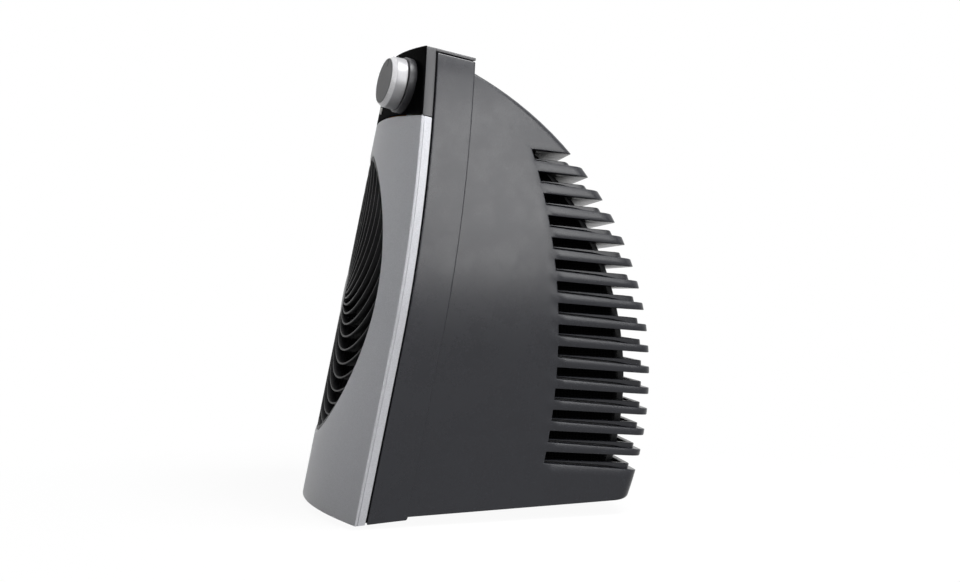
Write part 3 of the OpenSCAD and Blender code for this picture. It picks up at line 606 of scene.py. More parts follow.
class Shell:
    """Collects points and faces in millimetres and turns them into one piece."""

    def __init__(self) -> None:
        """Starts empty."""
        self.points: list[Array] = []
        self.faces: list[tuple[int, ...]] = []
        self.count = 0

    def add(self, points: Array) -> int:
        """Adds points and returns the first one's number."""
        first = self.count
        self.points.append(np.asarray(points, float).reshape(-1, 3))
        self.count += len(self.points[-1])
        return first

    def sweep(
        self, rows: Sequence[Array], ring: bool = True, loop: bool = True, caps: bool = False
    ) -> "Shell":
        """Joins rows of points with four-sided faces.

        Args:
            rows: The rows, all of one length.
            ring: Whether each row is a closed ring.
            loop: Whether the last row joins the first.
            caps: Whether the open ends of the rows are closed, each with one face.

        Returns:
            The same shell.
        """
        size = len(rows[0])
        first = self.add(np.concatenate(rows))
        for r in range(len(rows) if loop else len(rows) - 1):
            a, b = first + r * size, first + (r + 1) % len(rows) * size
            for c in range(size if ring else size - 1):
                d = (c + 1) % size
                self.faces.append((a + c, a + d, b + d, b + c))
        for c in (0, size - 1) if caps else ():
            self.faces.append(tuple(first + r * size + c for r in range(len(rows))))
        return self

    def stack(self, rings: Sequence[Array]) -> "Shell":
        """Joins rings, and closes the first and the last with a fan round its middle.

        Args:
            rings: The rings, all of one length.

        Returns:
            The same shell.
        """
        self.sweep(rings, loop=False)
        for ring in (rings[0], rings[-1]):
            first, middle, size = self.add(ring), self.add(np.mean(ring, axis=0)), len(ring)
            self.faces += [(first + i, first + (i + 1) % size, middle) for i in range(size)]
        return self

    def lathe(self, profile: Profile, sides: int = 96, close: bool = False) -> "Shell":
        """Turns a profile of radius and height round the z axis.

        Args:
            profile: The points, from one end of the axis to the other.
            sides: The steps round.
            close: Whether the profile is a closed ring that doesn't reach the axis.

        Returns:
            The same shell.
        """
        angles = np.linspace(0, 2 * math.pi, sides, endpoint=False)
        cos, sin = np.cos(angles), np.sin(angles)
        rows = [np.stack([r * cos, r * sin, np.full(sides, h)], axis=-1) for r, h in profile]
        return self.sweep(rows) if close else self.stack(rows)

    def masked(self, outer: Array, inner: Array, solid: Array | None = None) -> "Shell":
        """Adds a wall between two grids of points, with cells left open where it isn't solid.

        Args:
            outer: The outer points, row by row.
            inner: The inner points, in the same places.
            solid: For each cell, whether there is a wall, or None for all.

        Returns:
            The same shell.
        """
        rows, cols = outer.shape[:2]
        a, b = self.add(outer), self.add(inner)
        filled = np.zeros((rows + 1, cols + 1), bool)
        filled[1:-1, 1:-1] = True if solid is None else solid
        for r in range(rows):
            for c in range(cols):
                here = filled[r + 1, c + 1]
                i, right, down = r * cols + c, r * cols + c + 1, (r + 1) * cols + c
                if here:
                    self.faces.append((a + i, a + right, a + down + 1, a + down))
                    self.faces.append((b + down, b + down + 1, b + right, b + i))
                if c + 1 < cols and here != filled[r, c + 1]:
                    self.faces.append((a + i, a + right, b + right, b + i))
                if r + 1 < rows and here != filled[r + 1, c]:
                    self.faces.append((a + i, a + down, b + down, b + i))
        return self

    def piece(
        self,
        name: str,
        finish: Finish,
        nodes: Sequence[str] = (),
        body: str = CASING,
        place: Matrix | None = None,
        bevel: tuple[float, float, int] | None = None,
        chosen: Callable[[Vector], bool] = lambda middle: True,
    ) -> None:
        """Makes the piece, in metres and in the frame.

        Args:
            name: The piece's name.
            finish: Its finish.
            nodes: The nodes that it stands for.
            body: The body that it moves with.
            place: A matrix from the points' own axes to the casing's.
            bevel: A width in millimetres, the least angle in degrees, and the steps of a rounded edge.
            chosen: Says whether an edge with this middle is rounded.
        """
        mesh = bpy.data.meshes.new(name)
        mesh.from_pydata(np.concatenate(self.points).tolist(), [], self.faces)
        work = bmesh.new()
        work.from_mesh(mesh)
        bmesh.ops.remove_doubles(work, verts=work.verts, dist=1e-4)
        bmesh.ops.dissolve_degenerate(work, edges=work.edges, dist=1e-4)
        bmesh.ops.delete(work, geom=[v for v in work.verts if not v.link_faces], context="VERTS")
        bmesh.ops.recalc_face_normals(work, faces=work.faces)
        if bevel is not None:
            width, angle, steps = bevel
            joins = [e for e in work.edges if len(e.link_faces) == 2]
            sharp = [e for e in joins if e.calc_face_angle(0.0) > math.radians(angle)]
            edges = [e for e in sharp if chosen((e.verts[0].co + e.verts[1].co) / 2)]
            shape = {"offset": width, "offset_type": "OFFSET", "segments": steps, "profile": 0.5}
            bmesh.ops.bevel(work, geom=edges, affect="EDGES", clamp_overlap=False, **shape)
        work.to_mesh(mesh)
        work.free()
        if place is not None:
            mesh.transform(place)
        mesh.transform(CASE.to_row)
        dress(mesh, name, finish, nodes, body)


def rounded(corners: Corners, steps: int = 4) -> list[tuple[float, float]]:
    """Rounds the corners of a profile.

    Args:
        corners: Each corner's two coordinates and its radius; the first and last aren't rounded.
        steps: The flat steps of each rounded corner.

    Returns:
        The profile's points.
    """
    made: list[tuple[float, float]] = []
    for i, (x, y, radius) in enumerate(corners):
        if radius <= 0 or i in (0, len(corners) - 1):
            made.append((x, y))
            continue
        here = Vector((x, y))
        to_last = (Vector(corners[i - 1][:2]) - here).normalized()
        to_next = (Vector(corners[i + 1][:2]) - here).normalized()
        half = to_last.angle(to_next) / 2
        reach = radius / math.tan(half)
        middle = here + (to_last + to_next).normalized() * (radius / math.sin(half))
        start, end = here + to_last * reach - middle, here + to_next * reach - middle
        between = [start.slerp(end, k / steps).normalized() * radius for k in range(1, steps)]
        made += [tuple(middle + spoke) for spoke in (start, *between, end)]
    return made


def round_box(a: float, b: float, radius: float) -> Array:
    """Makes a rounded rectangle.

    Args:
        a: Half its width.
        b: Half its height.
        radius: The radius of its corners.

    Returns:
        Its points.
    """
    radius = min(radius, a, b)
    made = []
    for k, (sx, sy) in enumerate(((1, 1), (-1, 1), (-1, -1), (1, -1))):
        x, y = sx * (a - radius), sy * (b - radius)
        for angle in np.linspace(0, QUARTER, 7) + k * QUARTER:
            made.append((x + radius * math.cos(angle), y + radius * math.sin(angle)))
    return np.array(made)


def button(wide: float, high: float, levels: Corners, up: float = 0.0) -> Shell:
    """Stacks rounded rectangles, with their middle at a height along y.

    Args:
        wide: Half the width of the widest one.
        high: Half its height.
        levels: How far each one shrinks, its z, and its corner's radius.
        up: The middle's y.

    Returns:
        The shell.
    """
    rows = []
    for shrink, z, radius in levels:
        ring = round_box(wide - shrink, high - shrink, radius) + (0.0, up)
        rows.append(np.column_stack([ring, np.full(len(ring), z)]))
    return Shell().stack(rows)


# ---- outlines round the front


@dataclass(frozen=True)
class Outline:
    """A path round part of the front block: up one side, over the top, down the other, and back if closed."""

    top: float
    foot: float | None = None
    corner: float = 0.6
    closed: bool = True
    arch: float = 0.0
    side_steps: int = 28
    top_steps: int = 40

    def points(self, off: float, depth: float) -> Array:
        """The path's points, moved in by off and at a depth behind the bowed front."""
        return CASE.at_front(*self.flat(off, depth).T, depth)

    def band(self, profile: Profile) -> Shell:
        """A shell whose section, of offs and depths, goes along the path with closed ends."""
        return Shell().sweep([self.points(off, depth) for off, depth in profile], ring=False, caps=True)

    def low(self, x: Array, off: float, depth: float) -> Array:
        """The height along the front of the path's lower end."""
        if self.foot is not None:
            return np.full(len(x), self.foot + off)
        return CASE.foot_w(x, depth, off)

    def flat(self, off: float, depth: float) -> Array:
        """The path on the leaned front.

        Args:
            off: How far inside the surfaces it lies.
            depth: How far behind the bowed front.

        Returns:
            Each point's x and its height along the front.
        """
        top, radius = self.top - off, max(self.corner - off, 0.0)
        angle = np.linspace(0, QUARTER, 6)[1:]
        share = np.concatenate([np.linspace(0, 1, self.side_steps), np.ones(len(angle))])
        level = np.zeros(self.side_steps)
        lift = np.concatenate([level, radius * np.sin(angle)])
        tuck = np.concatenate([level, radius * (1 - np.cos(angle))])
        x = np.full(len(share), CASE.width / 2)
        for _ in range(12):
            foot = self.low(x, off, depth)
            w = foot + share * (top - radius - foot) + lift
            _, y, z = CASE.at_front(x, w, depth).T
            x = CASE.side(y, z, off) - tuck
        right = np.stack([x, w], axis=-1)
        across = np.linspace(1, -1, self.top_steps)[1:-1]
        over = np.stack([x[-1] * across, w[-1] + self.arch * (1 - across**2)], axis=-1)
        path = [right, over, right[::-1] * (-1, 1)]
        if self.closed:
            low_x = -x[0] * across
            path.append(np.stack([low_x, self.low(low_x, off, depth)], axis=-1))
        return np.concatenate(path)


@dataclass(frozen=True)
class Outlet:
    """The oval air outlet's outline on the leaned front."""

    half_width: float = 99.0
    half_height: float = 92.6
    shift: float = 18.0
    w: float = 140.4

    def reach(self, angle: Array, grow: float = 0.0) -> Array:
        """The outline's distance from its middle.

        Args:
            angle: The angles from the x axis.
            grow: How far outside the outline it is taken.

        Returns:
            The distance at each angle.
        """
        a, b = self.half_width + grow, self.half_height + grow
        end_r = a - self.shift
        drop = (self.shift**2 - (b - end_r) ** 2) / (2 * (b - end_r))
        long_r = b + drop
        share = self.shift / math.hypot(self.shift, drop)
        join = max(long_r * share, self.shift + end_r * share)
        c, s = np.abs(np.cos(angle)), np.abs(np.sin(angle))
        by_end = self.shift * c + np.sqrt(np.maximum(end_r**2 - (self.shift * s) ** 2, 0))
        by_long = -drop * s + np.sqrt(np.maximum(long_r**2 - (drop * c) ** 2, 0))
        return np.where(by_long * c <= join, by_long, by_end)

    def flat(self, angle: Array, grow: float) -> Array:
        """The outline's x and height along the leaned front at these angles."""
        far = self.reach(angle, grow)
        return np.stack([far * np.cos(angle), self.w + far * np.sin(angle)], axis=-1)

    def ring(self, angle: Array, grow: float, depth: float) -> Array:
        """Points round the outlet at these angles, at a depth behind the bowed front."""
        return CASE.at_front(*self.flat(angle, grow).T, depth)


OUTLET = Outlet()


# ---- geometry trees


class Maker(Graph):
    """A geometry tree with named inputs, whose result becomes a plain mesh."""

    family = "GeometryNode"

    def __init__(self, name: str, sizes: dict[str, float], count: int = 1) -> None:
        """Makes the tree with one input for each size, and one for the count.

        Args:
            name: The tree's name.
            sizes: Each input's name and its size in millimetres.
            count: How many copies the tree makes, where it counts them.
        """
        super().__init__(bpy.data.node_groups.new(name, "GeometryNodeTree"))
        face = self.tree.interface
        for way in ("INPUT", "OUTPUT"):
            face.new_socket("Geometry", in_out=way, socket_type="NodeSocketGeometry")
        self.given: dict[str, float | int] = {}
        for key, size in ({"Count": count} | {key: size * MM for key, size in sizes.items()}).items():
            kind = "NodeSocketInt" if key == "Count" else "NodeSocketFloat"
            socket = face.new_socket(key, in_out="INPUT", socket_type=kind)
            socket.default_value = self.given[socket.identifier] = size
        self.start = self.node("NodeGroupInput")

    def inputs(self, *keys: str) -> list[Value]:
        """Returns the values of named inputs."""
        return [Value(self, self.start.outputs[key]) for key in keys]

    def placed(self, geometry: Value, *position: Value | float) -> Value:
        """Sets every point's position."""
        return self.value("SetPosition", {"Geometry": geometry, "Position": self.joined(*position)})

    def steps(self, count: int) -> tuple[Value, Value]:
        """Makes a straight curve.

        Args:
            count: How many points it has.

        Returns:
            The curve, and the share of it at which each point lies.
        """
        line = self.value("CurvePrimitiveLine", {"Start": (0, 0, 0), "End": (1, 0, 0)})
        fine = self.value("ResampleCurve", {"Curve": line, "Count": count})
        return fine, self.value("SplineParameter", output="Factor")

    def copies(self, points: Value, made: Value, **turn: Value) -> Value:
        """Puts a copy of something on every point."""
        return self.value("InstanceOnPoints", {"Points": points, "Instance": made, **turn})

    def dots(self, count: Value) -> Value:
        """Makes loose points, all in one place."""
        return self.value("MeshLine", {"Count": count, "Offset": (0, 0, 0)})

    def blade(self, curve: Value, thick: Value, deep: Value, edge: float) -> Value:
        """Makes a bar with rounded edges along a flat curve.

        Args:
            curve: The curve, in the plane of x and y.
            thick: The bar's thickness in that plane.
            deep: Its depth along z.
            edge: The radius of its edges, in millimetres.

        Returns:
            The bar's mesh.
        """
        flat = self.value("CurvePrimitiveQuadrilateral", {"Width": thick, "Height": deep}, mode="RECTANGLE")
        fillet = {"Curve": flat, "Count": 2, "Radius": edge * MM, "Limit Radius": True}
        profile = self.value("FilletCurve", fillet, mode="POLY")
        upright = self.value("SetCurveNormal", {"Curve": curve}, mode="Z_UP")
        return self.value("CurveToMesh", {"Curve": upright, "Profile Curve": profile, "Fill Caps": True})

    def piece(
        self,
        name: str,
        finish: Finish,
        made: Value,
        nodes: Sequence[str] = (),
        place: Matrix | None = None,
        seeds: Sequence[tuple[float, ...]] = (),
    ) -> None:
        """Runs the tree and makes a piece of its result.

        Args:
            name: The piece's name.
            finish: Its finish.
            made: The tree's result.
            nodes: The nodes that the piece stands for.
            place: A matrix from the result's axes to the casing's, both in millimetres.
            seeds: Points in metres that the tree starts from.
        """
        real = self.value("RealizeInstances", {"Geometry": made})
        dressed = self.value("SetMaterial", {"Geometry": real, "Material": finish.material()})
        self.node("NodeGroupOutput", {0: dressed})
        base = bpy.data.meshes.new(name + "_seed")
        base.from_pydata([tuple(p) for p in seeds], [], [])
        holder = bpy.data.objects.new(name + "_seed", base)
        bpy.context.scene.collection.objects.link(holder)
        modifier = holder.modifiers.new("tree", "NODES")
        modifier.node_group = self.tree
        for key, size in self.given.items():
            modifier[key] = size
        bpy.context.view_layer.update()
        mesh = bpy.data.meshes.new_from_object(holder.evaluated_get(bpy.context.evaluated_depsgraph_get()))
        bpy.data.objects.remove(holder)
        if place is not None:
            mesh.transform(CASE.to_row @ place @ Matrix.Scale(1 / MM, 4))
            work = bmesh.new()
            work.from_mesh(mesh)
            bmesh.ops.remove_doubles(work, verts=work.verts, dist=1e-6)
            bmesh.ops.recalc_face_normals(work, faces=work.faces)
            work.to_mesh(mesh)
            work.free()
        dress(mesh, name, finish, nodes)


# ---- the sub-assemblies


@dataclass(frozen=True)
class FrontBlock:
    """The housing's front part: two tall sides and a top, closed behind."""

    corner: float = 0.8
    front_edge: float = 0.4
    rear_edge: float = 0.9
    flange: float = 26.0
    lip_in: float = 1.1
    lip_ahead: float = 1.2
    lip_behind: float = 0.4

    def build(self) -> None:
        """Makes the block's shell, and the near-black lip in the seam round it, whose colour is painted
        shade.
        """
        near, far, wall = CASE.strip + CASE.seam, CASE.block, CASE.wall
        sides = [(0.0, near + (far - near) * t, 0.0) for t in (0.04, 0.25, 0.5, 0.75, 0.94)]
        corners = [(wall, near, 0.0), (0.0, near, self.front_edge), *sides, (0.0, far, self.rear_edge)]
        corners += [(self.flange, far, 0.0), (self.flange, far - wall, 0.0), (wall, far - wall, 0.0)]
        block = Outline(CASE.top_w - CASE.cover - CASE.cover_gap, corner=self.corner, closed=False)
        block.band(rounded(corners)).piece("housing_block", GRAPHITE, ["rear_housing"])
        # The near-black lip in the seam is painted shade.
        near, far = CASE.strip - self.lip_ahead, near + self.lip_behind
        lip = [(self.lip_in, near), (self.lip_in, far), (wall, far), (wall, near)]
        Outline(CASE.top_w, corner=self.corner, closed=False).band(lip).piece("seam_painted_shade_liner", SHADOW_BLACK)


@dataclass(frozen=True)
class BackShell:
    """The housing's back part, with slots that leave a stack of fins round the sides and the back."""

    step: float = 0.8
    corner: float = 6.0
    corner_top: float = 4.0
    foot_r: float = 3.6
    roof: float = 277.5
    slots: int = 15
    slot_top: float = 225.0
    pitch: float = 13.56
    closing: float = 0.065
    slot_h: float = 6.9
    under: float = math.radians(4.8)
    over: float = math.radians(6.5)
    fin_deep: float = 14.0
    root_y: float = 155.2
    root_r: float = 390.0
    root_z: float = 116.0
    sill_y: float = 62.2
    sill_step: float = 1.5
    sill_rise: float = math.radians(1.35)
    edge: float = 0.55
    lip_in: float = 4.8
    lip_t: float = 1.5
    lip_under: float = 3.0
    lip_gap: float = 0.85
    lip_edge: float = 0.3
    lip_sunk: float = 0.6
    lip_h: float = 1.6
    lip_more: float = 1.7
    lip_run: float = 45.0
    screen_in: float = 17.4
    screen_t: float = 0.8
    screen_low: float = 18.0
    screen_high: float = 232.0
    bars_n: int = 13
    bar_pitch: float = 11.0
    bar_t: float = 1.5
    bar_deep: float = 4.2
    bar_low: float = 28.0
    bar_high: float = 229.0
    bar_in: float = 15.0
    hidden: float = 3.0

    def slot_z(self, k: int) -> float:
        """The upper edge of a slot at its front end."""
        return self.slot_top - self.pitch * k + self.closing * k * (k - 1) / 2

    @property
    def low_z(self) -> float:
        """The lower edge of the lowest slot at its front end."""
        return self.slot_z(self.slots - 1) - self.slot_h

    def bend(self, z: float) -> float:
        """The radius of the corner between side and back, which is small above the slots."""
        span = (self.slot_top - self.pitch, self.slot_top + 2.0)
        return float(np.interp(z, span, (self.corner, self.corner_top)))

    def root(self, z: float) -> float:
        """How far back the slots start at a height."""
        return self.root_y - self.root_r + math.sqrt(self.root_r**2 - (z - self.root_z) ** 2)

    def edge_line(self, z: float, slope: float) -> Line:
        """A line that is level up to the slots' front ends and falls behind them."""
        root = self.root(z)
        return lambda y: z - np.maximum(y - root, 0.0) * math.tan(slope)

    def foot_line(self, y: Array) -> Array:
        """The housing's lower edge: level under the block, then a step up and a slow rise."""
        rise = self.sill_step + (y - self.sill_y) * math.tan(self.sill_rise)
        return CASE.gap + np.where(y < self.sill_y, 0.0, rise)

    def front(self, z: float) -> float:
        """Where the back part's sides start, just inside the block.

        Args:
            z: The height.

        Returns:
            The depth.
        """
        x = np.array(120.0)
        for _ in range(12):
            y = (CASE.bowed(x) + CASE.block) / math.cos(CASE.lean) + z * math.tan(CASE.lean)
            x = CASE.side(y, np.array(z), self.step)
        return float(y) - self.hidden

    def shares(self) -> list[Array]:
        """Spreads the points of half a row.

        Returns:
            Their places ahead of the slots, along a fin, round the corner and across the back.
        """
        low_front = self.front(CASE.gap)
        sill = (self.sill_y - low_front) / (self.root(30.0) - low_front)
        ahead = np.sort(np.concatenate([np.linspace(0, 1, 12, endpoint=False), [sill - 0.003, sill + 0.003]]))
        fin, turn = np.linspace(0, 1, 10, endpoint=False), np.linspace(0, QUARTER, 7)[:-1]
        return [ahead, fin, turn, np.linspace(0, 1, 19)]

    def row(
        self, line: Line, z: float, off: tuple[float, float], corner: float, short: float = 0.0
    ) -> Array:
        """One row of points, from the block on one side, round the back, to the block on the other.

        Args:
            line: The row's height at each depth.
            z: Its height at the slots' front ends.
            off: How far inside the surface it lies ahead of the slots, and behind their ends.
            corner: The radius of the corner between side and back.
            short: How far it stops short of the back.

        Returns:
            The row's points.
        """
        ahead, fin, turn, across = self.shares()
        y_back = np.array(200.0)
        for _ in range(8):
            y_back = CASE.back(line(y_back), off[1]) - short
        y_turn, top = float(y_back) - corner, self.slot_z(0)
        y_front = min(self.front(z), y_turn - 1.0)
        if z > top:
            top_turn = float(CASE.back(np.array(top), off[1])) - corner
            part = (self.root(top) - self.front(top)) / (top_turn - self.front(top))
            y_root = y_front + (y_turn - y_front) * part
        else:
            y_root = self.root(max(z, self.low_z))
        parts = [y_front + (y_root - y_front) * ahead, y_root + (y_turn - y_root) * fin]
        parts += [y_back - corner * (1 - np.sin(turn)), np.full(len(across), float(y_back))]
        y = np.concatenate(parts)
        offs = np.where(np.arange(len(y)) < len(ahead) - 1, *off) + self.step
        x = CASE.side(y, line(y)) - offs / math.cos(CASE.taper)
        ends = len(y) - len(across)
        x[ends - len(turn) : ends] -= corner * (1 - np.cos(turn))
        x[ends:] = (x[ends:] - corner) * (1 - across)
        half = np.stack([x, y, line(y)], axis=-1)
        return np.concatenate([half, (half[:-1] * (-1, 1, 1))[::-1]])

    def lines(self) -> list[tuple[Line, float, bool, float]]:
        """Lists the rows of the wall, from the top down.

        Returns:
            Each row's line, its height, whether a slot lies under it, and how far short of the back it stops.
        """
        made: list[tuple[Line, float, bool, float]] = []
        top = self.slot_z(0)
        for t in (1.0, 0.93, 0.86, 0.79, 0.72, 0.64, 0.55, 0.45, 0.34, 0.22, 0.1):
            z = top + (self.roof - top) * t
            made.append((self.edge_line(z, self.under * (1 - t)), z, False, 0.0))
        for z in map(self.slot_z, range(self.slots)):
            made.append((self.edge_line(z, self.under), z, True, 0.0))
            made.append((self.edge_line(z - self.slot_h, self.over), z - self.slot_h, False, 0.0))
        low, tall = self.edge_line(self.low_z, self.over), self.low_z - CASE.gap
        angles = np.linspace(0, QUARTER, 6)
        bend = [(1 - self.foot_r / tall * (1 - math.sin(a)), 1 - math.cos(a)) for a in angles]
        for t, cut in [(0.25, 0.0), (0.5, 0.0), *bend]:
            line: Line = lambda y, t=t: low(y) * (1 - t) + self.foot_line(y) * t
            made.append((line, self.low_z - tall * t, False, self.foot_r * cut))
        return made

    def wall(self) -> None:
        """Makes the back part's wall with its slots."""
        rows = self.lines()
        slotted = [i for i, row in enumerate(rows) if row[2]]
        outer, inner = [], []
        for i, (line, z, _, short) in enumerate(rows):
            outer.append(self.row(line, z, (0.0, 0.0), self.bend(z), short))
            deep = self.fin_deep if slotted[0] <= i <= slotted[-1] + 1 else CASE.wall
            inner.append(self.row(line, z, (CASE.wall, deep), max(self.bend(z) - deep, 0.8)))
        start, cells = len(self.shares()[0]), len(outer[0]) - 1
        solid = np.ones((len(rows) - 1, cells), bool)
        solid[slotted, start : cells - start] = False
        low, high = self.low_z - 8.0, self.slot_z(0) + 3.0
        Shell().masked(np.array(outer), np.array(inner), solid).piece(
            "housing_back", GRAPHITE, ["rear_housing"], bevel=(self.edge, 40.0, 2),
            chosen=lambda p: low < p.z < high,
        )

    def lip_rows(self, z: float) -> list[Array]:
        """Goes round the upstand on a fin, which is undercut at its foot and taller towards the back.

        Args:
            z: The fin's height.

        Returns:
            The upstand's rows.
        """
        base, root = self.edge_line(z, self.over), self.root(z)
        end = float(CASE.back(np.array(z))) - self.fin_deep
        foot = self.lip_in + self.lip_under
        sunk: Line = lambda y: base(y) - self.lip_sunk
        gap: Line = lambda y: base(y) + self.lip_gap * np.clip((end - y) / 8.0, -0.3, 1)
        share: Line = lambda y: np.clip((y - root) / self.lip_run, 0, 1)
        crest: Line = lambda y: base(y) + self.lip_h + self.lip_more * share(y)
        below: Line = lambda y: crest(y) - self.lip_edge
        rows = [(sunk, foot, 1.6), (gap, foot, 1.6), (gap, self.lip_in, 3.2), (below, self.lip_in, 3.2)]
        rows += [(crest, self.lip_in + self.lip_edge, 3.0)]
        rows += [(line, foot + self.lip_t, 0.8) for line in (crest, sunk)]
        start = len(self.shares()[0])
        return [self.row(line, z, (off, off), corner)[start:-start] for line, off, corner in rows]

    def screen(self) -> None:
        """Makes the intake screen that stands inside the fins."""
        skip, grids = len(self.shares()[0]) - 4, []
        for off, corner in ((self.screen_in, 4.0), (self.screen_in + self.screen_t, 3.4)):
            levels = np.linspace(self.screen_high, self.screen_low, 24)
            rows = [self.row(self.edge_line(z, 0.0), z, (off, off), corner) for z in levels]
            grids.append(np.array(rows)[:, skip:-skip])
        Shell().masked(*grids).piece("intake_screen", SCREEN)

    def bars(self) -> None:
        """Makes the upright bars that tie the fins together at the back."""
        sizes = {"Pitch": self.bar_pitch, "Thickness": self.bar_t, "Depth": self.bar_deep}
        sizes |= {"Low": self.bar_low, "High": self.bar_high}
        sizes |= {"Radius": CASE.back_r - self.bar_in, "Centre": CASE.back_z}
        maker = Maker("upright_bars", sizes, self.bars_n)
        count, pitch, thick, deep, low, high, radius, centre = maker.inputs("Count", *sizes)
        fine, along = maker.steps(36)
        height = low + (high - low) * along
        rise = height - centre
        bent = maker.placed(fine, (radius**2 - rise * rise).math("SQRT"), height, 0.0)
        bar = maker.blade(bent, deep, thick, 0.3)
        spread = (maker.value("InputIndex") - (count - 1) * 0.5) * pitch
        made = maker.copies(maker.placed(maker.dots(count), 0.0, 0.0, spread), bar)
        turn = Matrix(((0, 0, 1, 0), (1, 0, 0, CASE.back_c), (0, 1, 0, 0), (0, 0, 0, 1)))
        maker.piece("intake_bars", GRAPHITE, made, place=turn)

    def build(self) -> None:
        """Makes the back part, its lips, bars and screen."""
        self.wall()
        lips = Shell()
        for z in map(self.slot_z, range(self.slots)):
            lips.sweep(self.lip_rows(z - self.slot_h), ring=False, caps=True)
        lips.piece("fin_lips", GRAPHITE, bevel=(0.3, 50.0, 1))
        self.bars()
        self.screen()


@dataclass(frozen=True)
class TopCover:
    """The grey strips beside the control panel and the thin plate over the block."""

    corner: float = 0.4
    front_depth: float = 0.8
    edge: float = 0.4

    def build(self) -> None:
        """Makes the strips and the plate as one piece."""
        cover, strip = CASE.cover, CASE.strip
        corners = [(cover, self.front_depth, 0.0), (0.05, self.front_depth, 0.2)]
        corners += [(0.0, strip, 0.3), (cover, strip, 0.0)]
        shell = Outline(CASE.top_w, CASE.panel_w, self.corner, closed=False).band(rounded(corners))
        across, grids = np.linspace(-1, 1, 49), []
        for w in (CASE.top_w, CASE.top_w - cover):
            depths = np.linspace(strip, CASE.block, 9)
            grids.append(np.array([CASE.at_front(across * CASE.reach(w, d), w, d) for d in depths]))
        back = CASE.top_w - 30
        # The cover wears the lighter graphite, partly painted light.
        shell.masked(*grids).piece(
            "top_cover_plate", TOP_GREY_PAINTED_LIGHT, ["top_cover"], bevel=(self.edge, 50.0, 3),
            chosen=lambda p: CASE.behind(p) > strip + 1 and p.z > back,
        )


@dataclass(frozen=True)
class ControlPanel:
    """The gloss control panel, with windows for its keys, and the pilot lens."""

    thick: float = 0.9
    inset: float = 0.12
    edge: float = 0.3
    key_at: float = -11.5
    key_pitch: float = 21.0
    key_w: float = 16.0
    key_h: float = 10.0
    key_gap: float = 0.4
    key_out: float = 0.12
    pilot_at: float = 4.05
    pilot_up: float = 8.5
    pilot_r: float = 2.3
    pilot_out: float = 1.3

    def build(self) -> None:
        """Makes the panel, the keys and the lens."""
        self.panel()
        for place, name in ((1, "key_fan"), (0, "key_low"), (-1, "key_high")):
            self.key(place, name)
        self.lens()

    def panel(self) -> None:
        """Makes the bowed plate."""
        half, turn = self.key_w / 2 + self.key_gap, math.radians(self.key_at)
        ends = [k * self.key_pitch + side * half for k in (-1, 0, 1) for side in (-1, 1)]
        limits = [CASE.bow * math.sin(turn) + end * math.cos(turn) for end in ends]
        inner = sorted(np.concatenate([np.linspace(-96, 96, 45), limits]))
        kept = [x for x in inner if x in limits or min(abs(x - edge) for edge in limits) > 0.8]
        low, high = CASE.panel_w + CASE.hairline, CASE.top_w
        mid, tall = CASE.control_w, self.key_h / 2 + self.key_gap
        heights = [low, low + 4, low + 8, mid - tall, mid, mid + tall, high - 8, high - 4, high]
        arches = [CASE.panel_arch * share for share in (1.0, 0.6, 0.25)] + [0.0] * (len(heights) - 3)
        grids = []
        for depth in (0.0, self.thick):
            rows = []
            for w, arch in zip(heights, arches):
                x = CASE.reach(w, depth, self.inset)
                tips = np.linspace(kept[-1], x, 6)[1:]
                columns = np.concatenate([-tips[::-1], kept, tips])
                rows.append(CASE.at_front(columns, w + arch * (1 - (columns / x) ** 2), depth))
            grids.append(np.array(rows))
        middles = (columns[:-1] + columns[1:]) / 2
        solid = np.ones((len(heights) - 1, len(middles)), bool)
        for a, b in zip(limits[::2], limits[1::2]):
            solid[3:5, (middles > a) & (middles < b)] = False
        Shell().masked(*grids, solid).piece(
            "control_panel_plate", PANEL_BLACK, ["control_panel"], bevel=(self.edge, 50.0, 3),
            chosen=lambda p: CASE.behind(p) < self.thick / 2,
        )

    def key(self, place: int, name: str) -> None:
        """Makes one push key with rounded edges and a dished face.

        Args:
            place: How many keys to the right of the middle one it stands.
            name: The name of its node and its body.
        """
        levels = [(0.0, -4.0), (0.0, -0.4), (0.12, 0.1), (0.35, 0.42), (0.75, 0.62), (1.3, 0.66)]
        levels += [(2.4, 0.52), (3.6, 0.4), (4.6, 0.36)]
        stack = [(shrink, z + self.key_out, max(1.6 - shrink * 0.4, 0.15)) for shrink, z in levels]
        turn = self.key_at + math.degrees(place * self.key_pitch / CASE.bow)
        cap = button(self.key_w / 2, self.key_h / 2, stack)
        cap.piece(name + "_cap", KEY_GREY, [name], name, CASE.panel_place(turn, CASE.control_w))

    def lens(self) -> None:
        """Makes the pilot lamp's domed lens."""
        dome = [(1.0, 0.2), (0.93, 0.5), (0.76, 0.75), (0.55, 0.89), (0.3, 0.97), (0.12, 1.0)]
        profile = [(self.pilot_r, -3.0)] + [(self.pilot_r * r, self.pilot_out * z) for r, z in dome]
        place = CASE.panel_place(self.pilot_at, CASE.panel_w + self.pilot_up)
        Shell().lathe(profile, 40).piece("pilot_lens_dome", LENS, ["pilot_lens"], place=place)


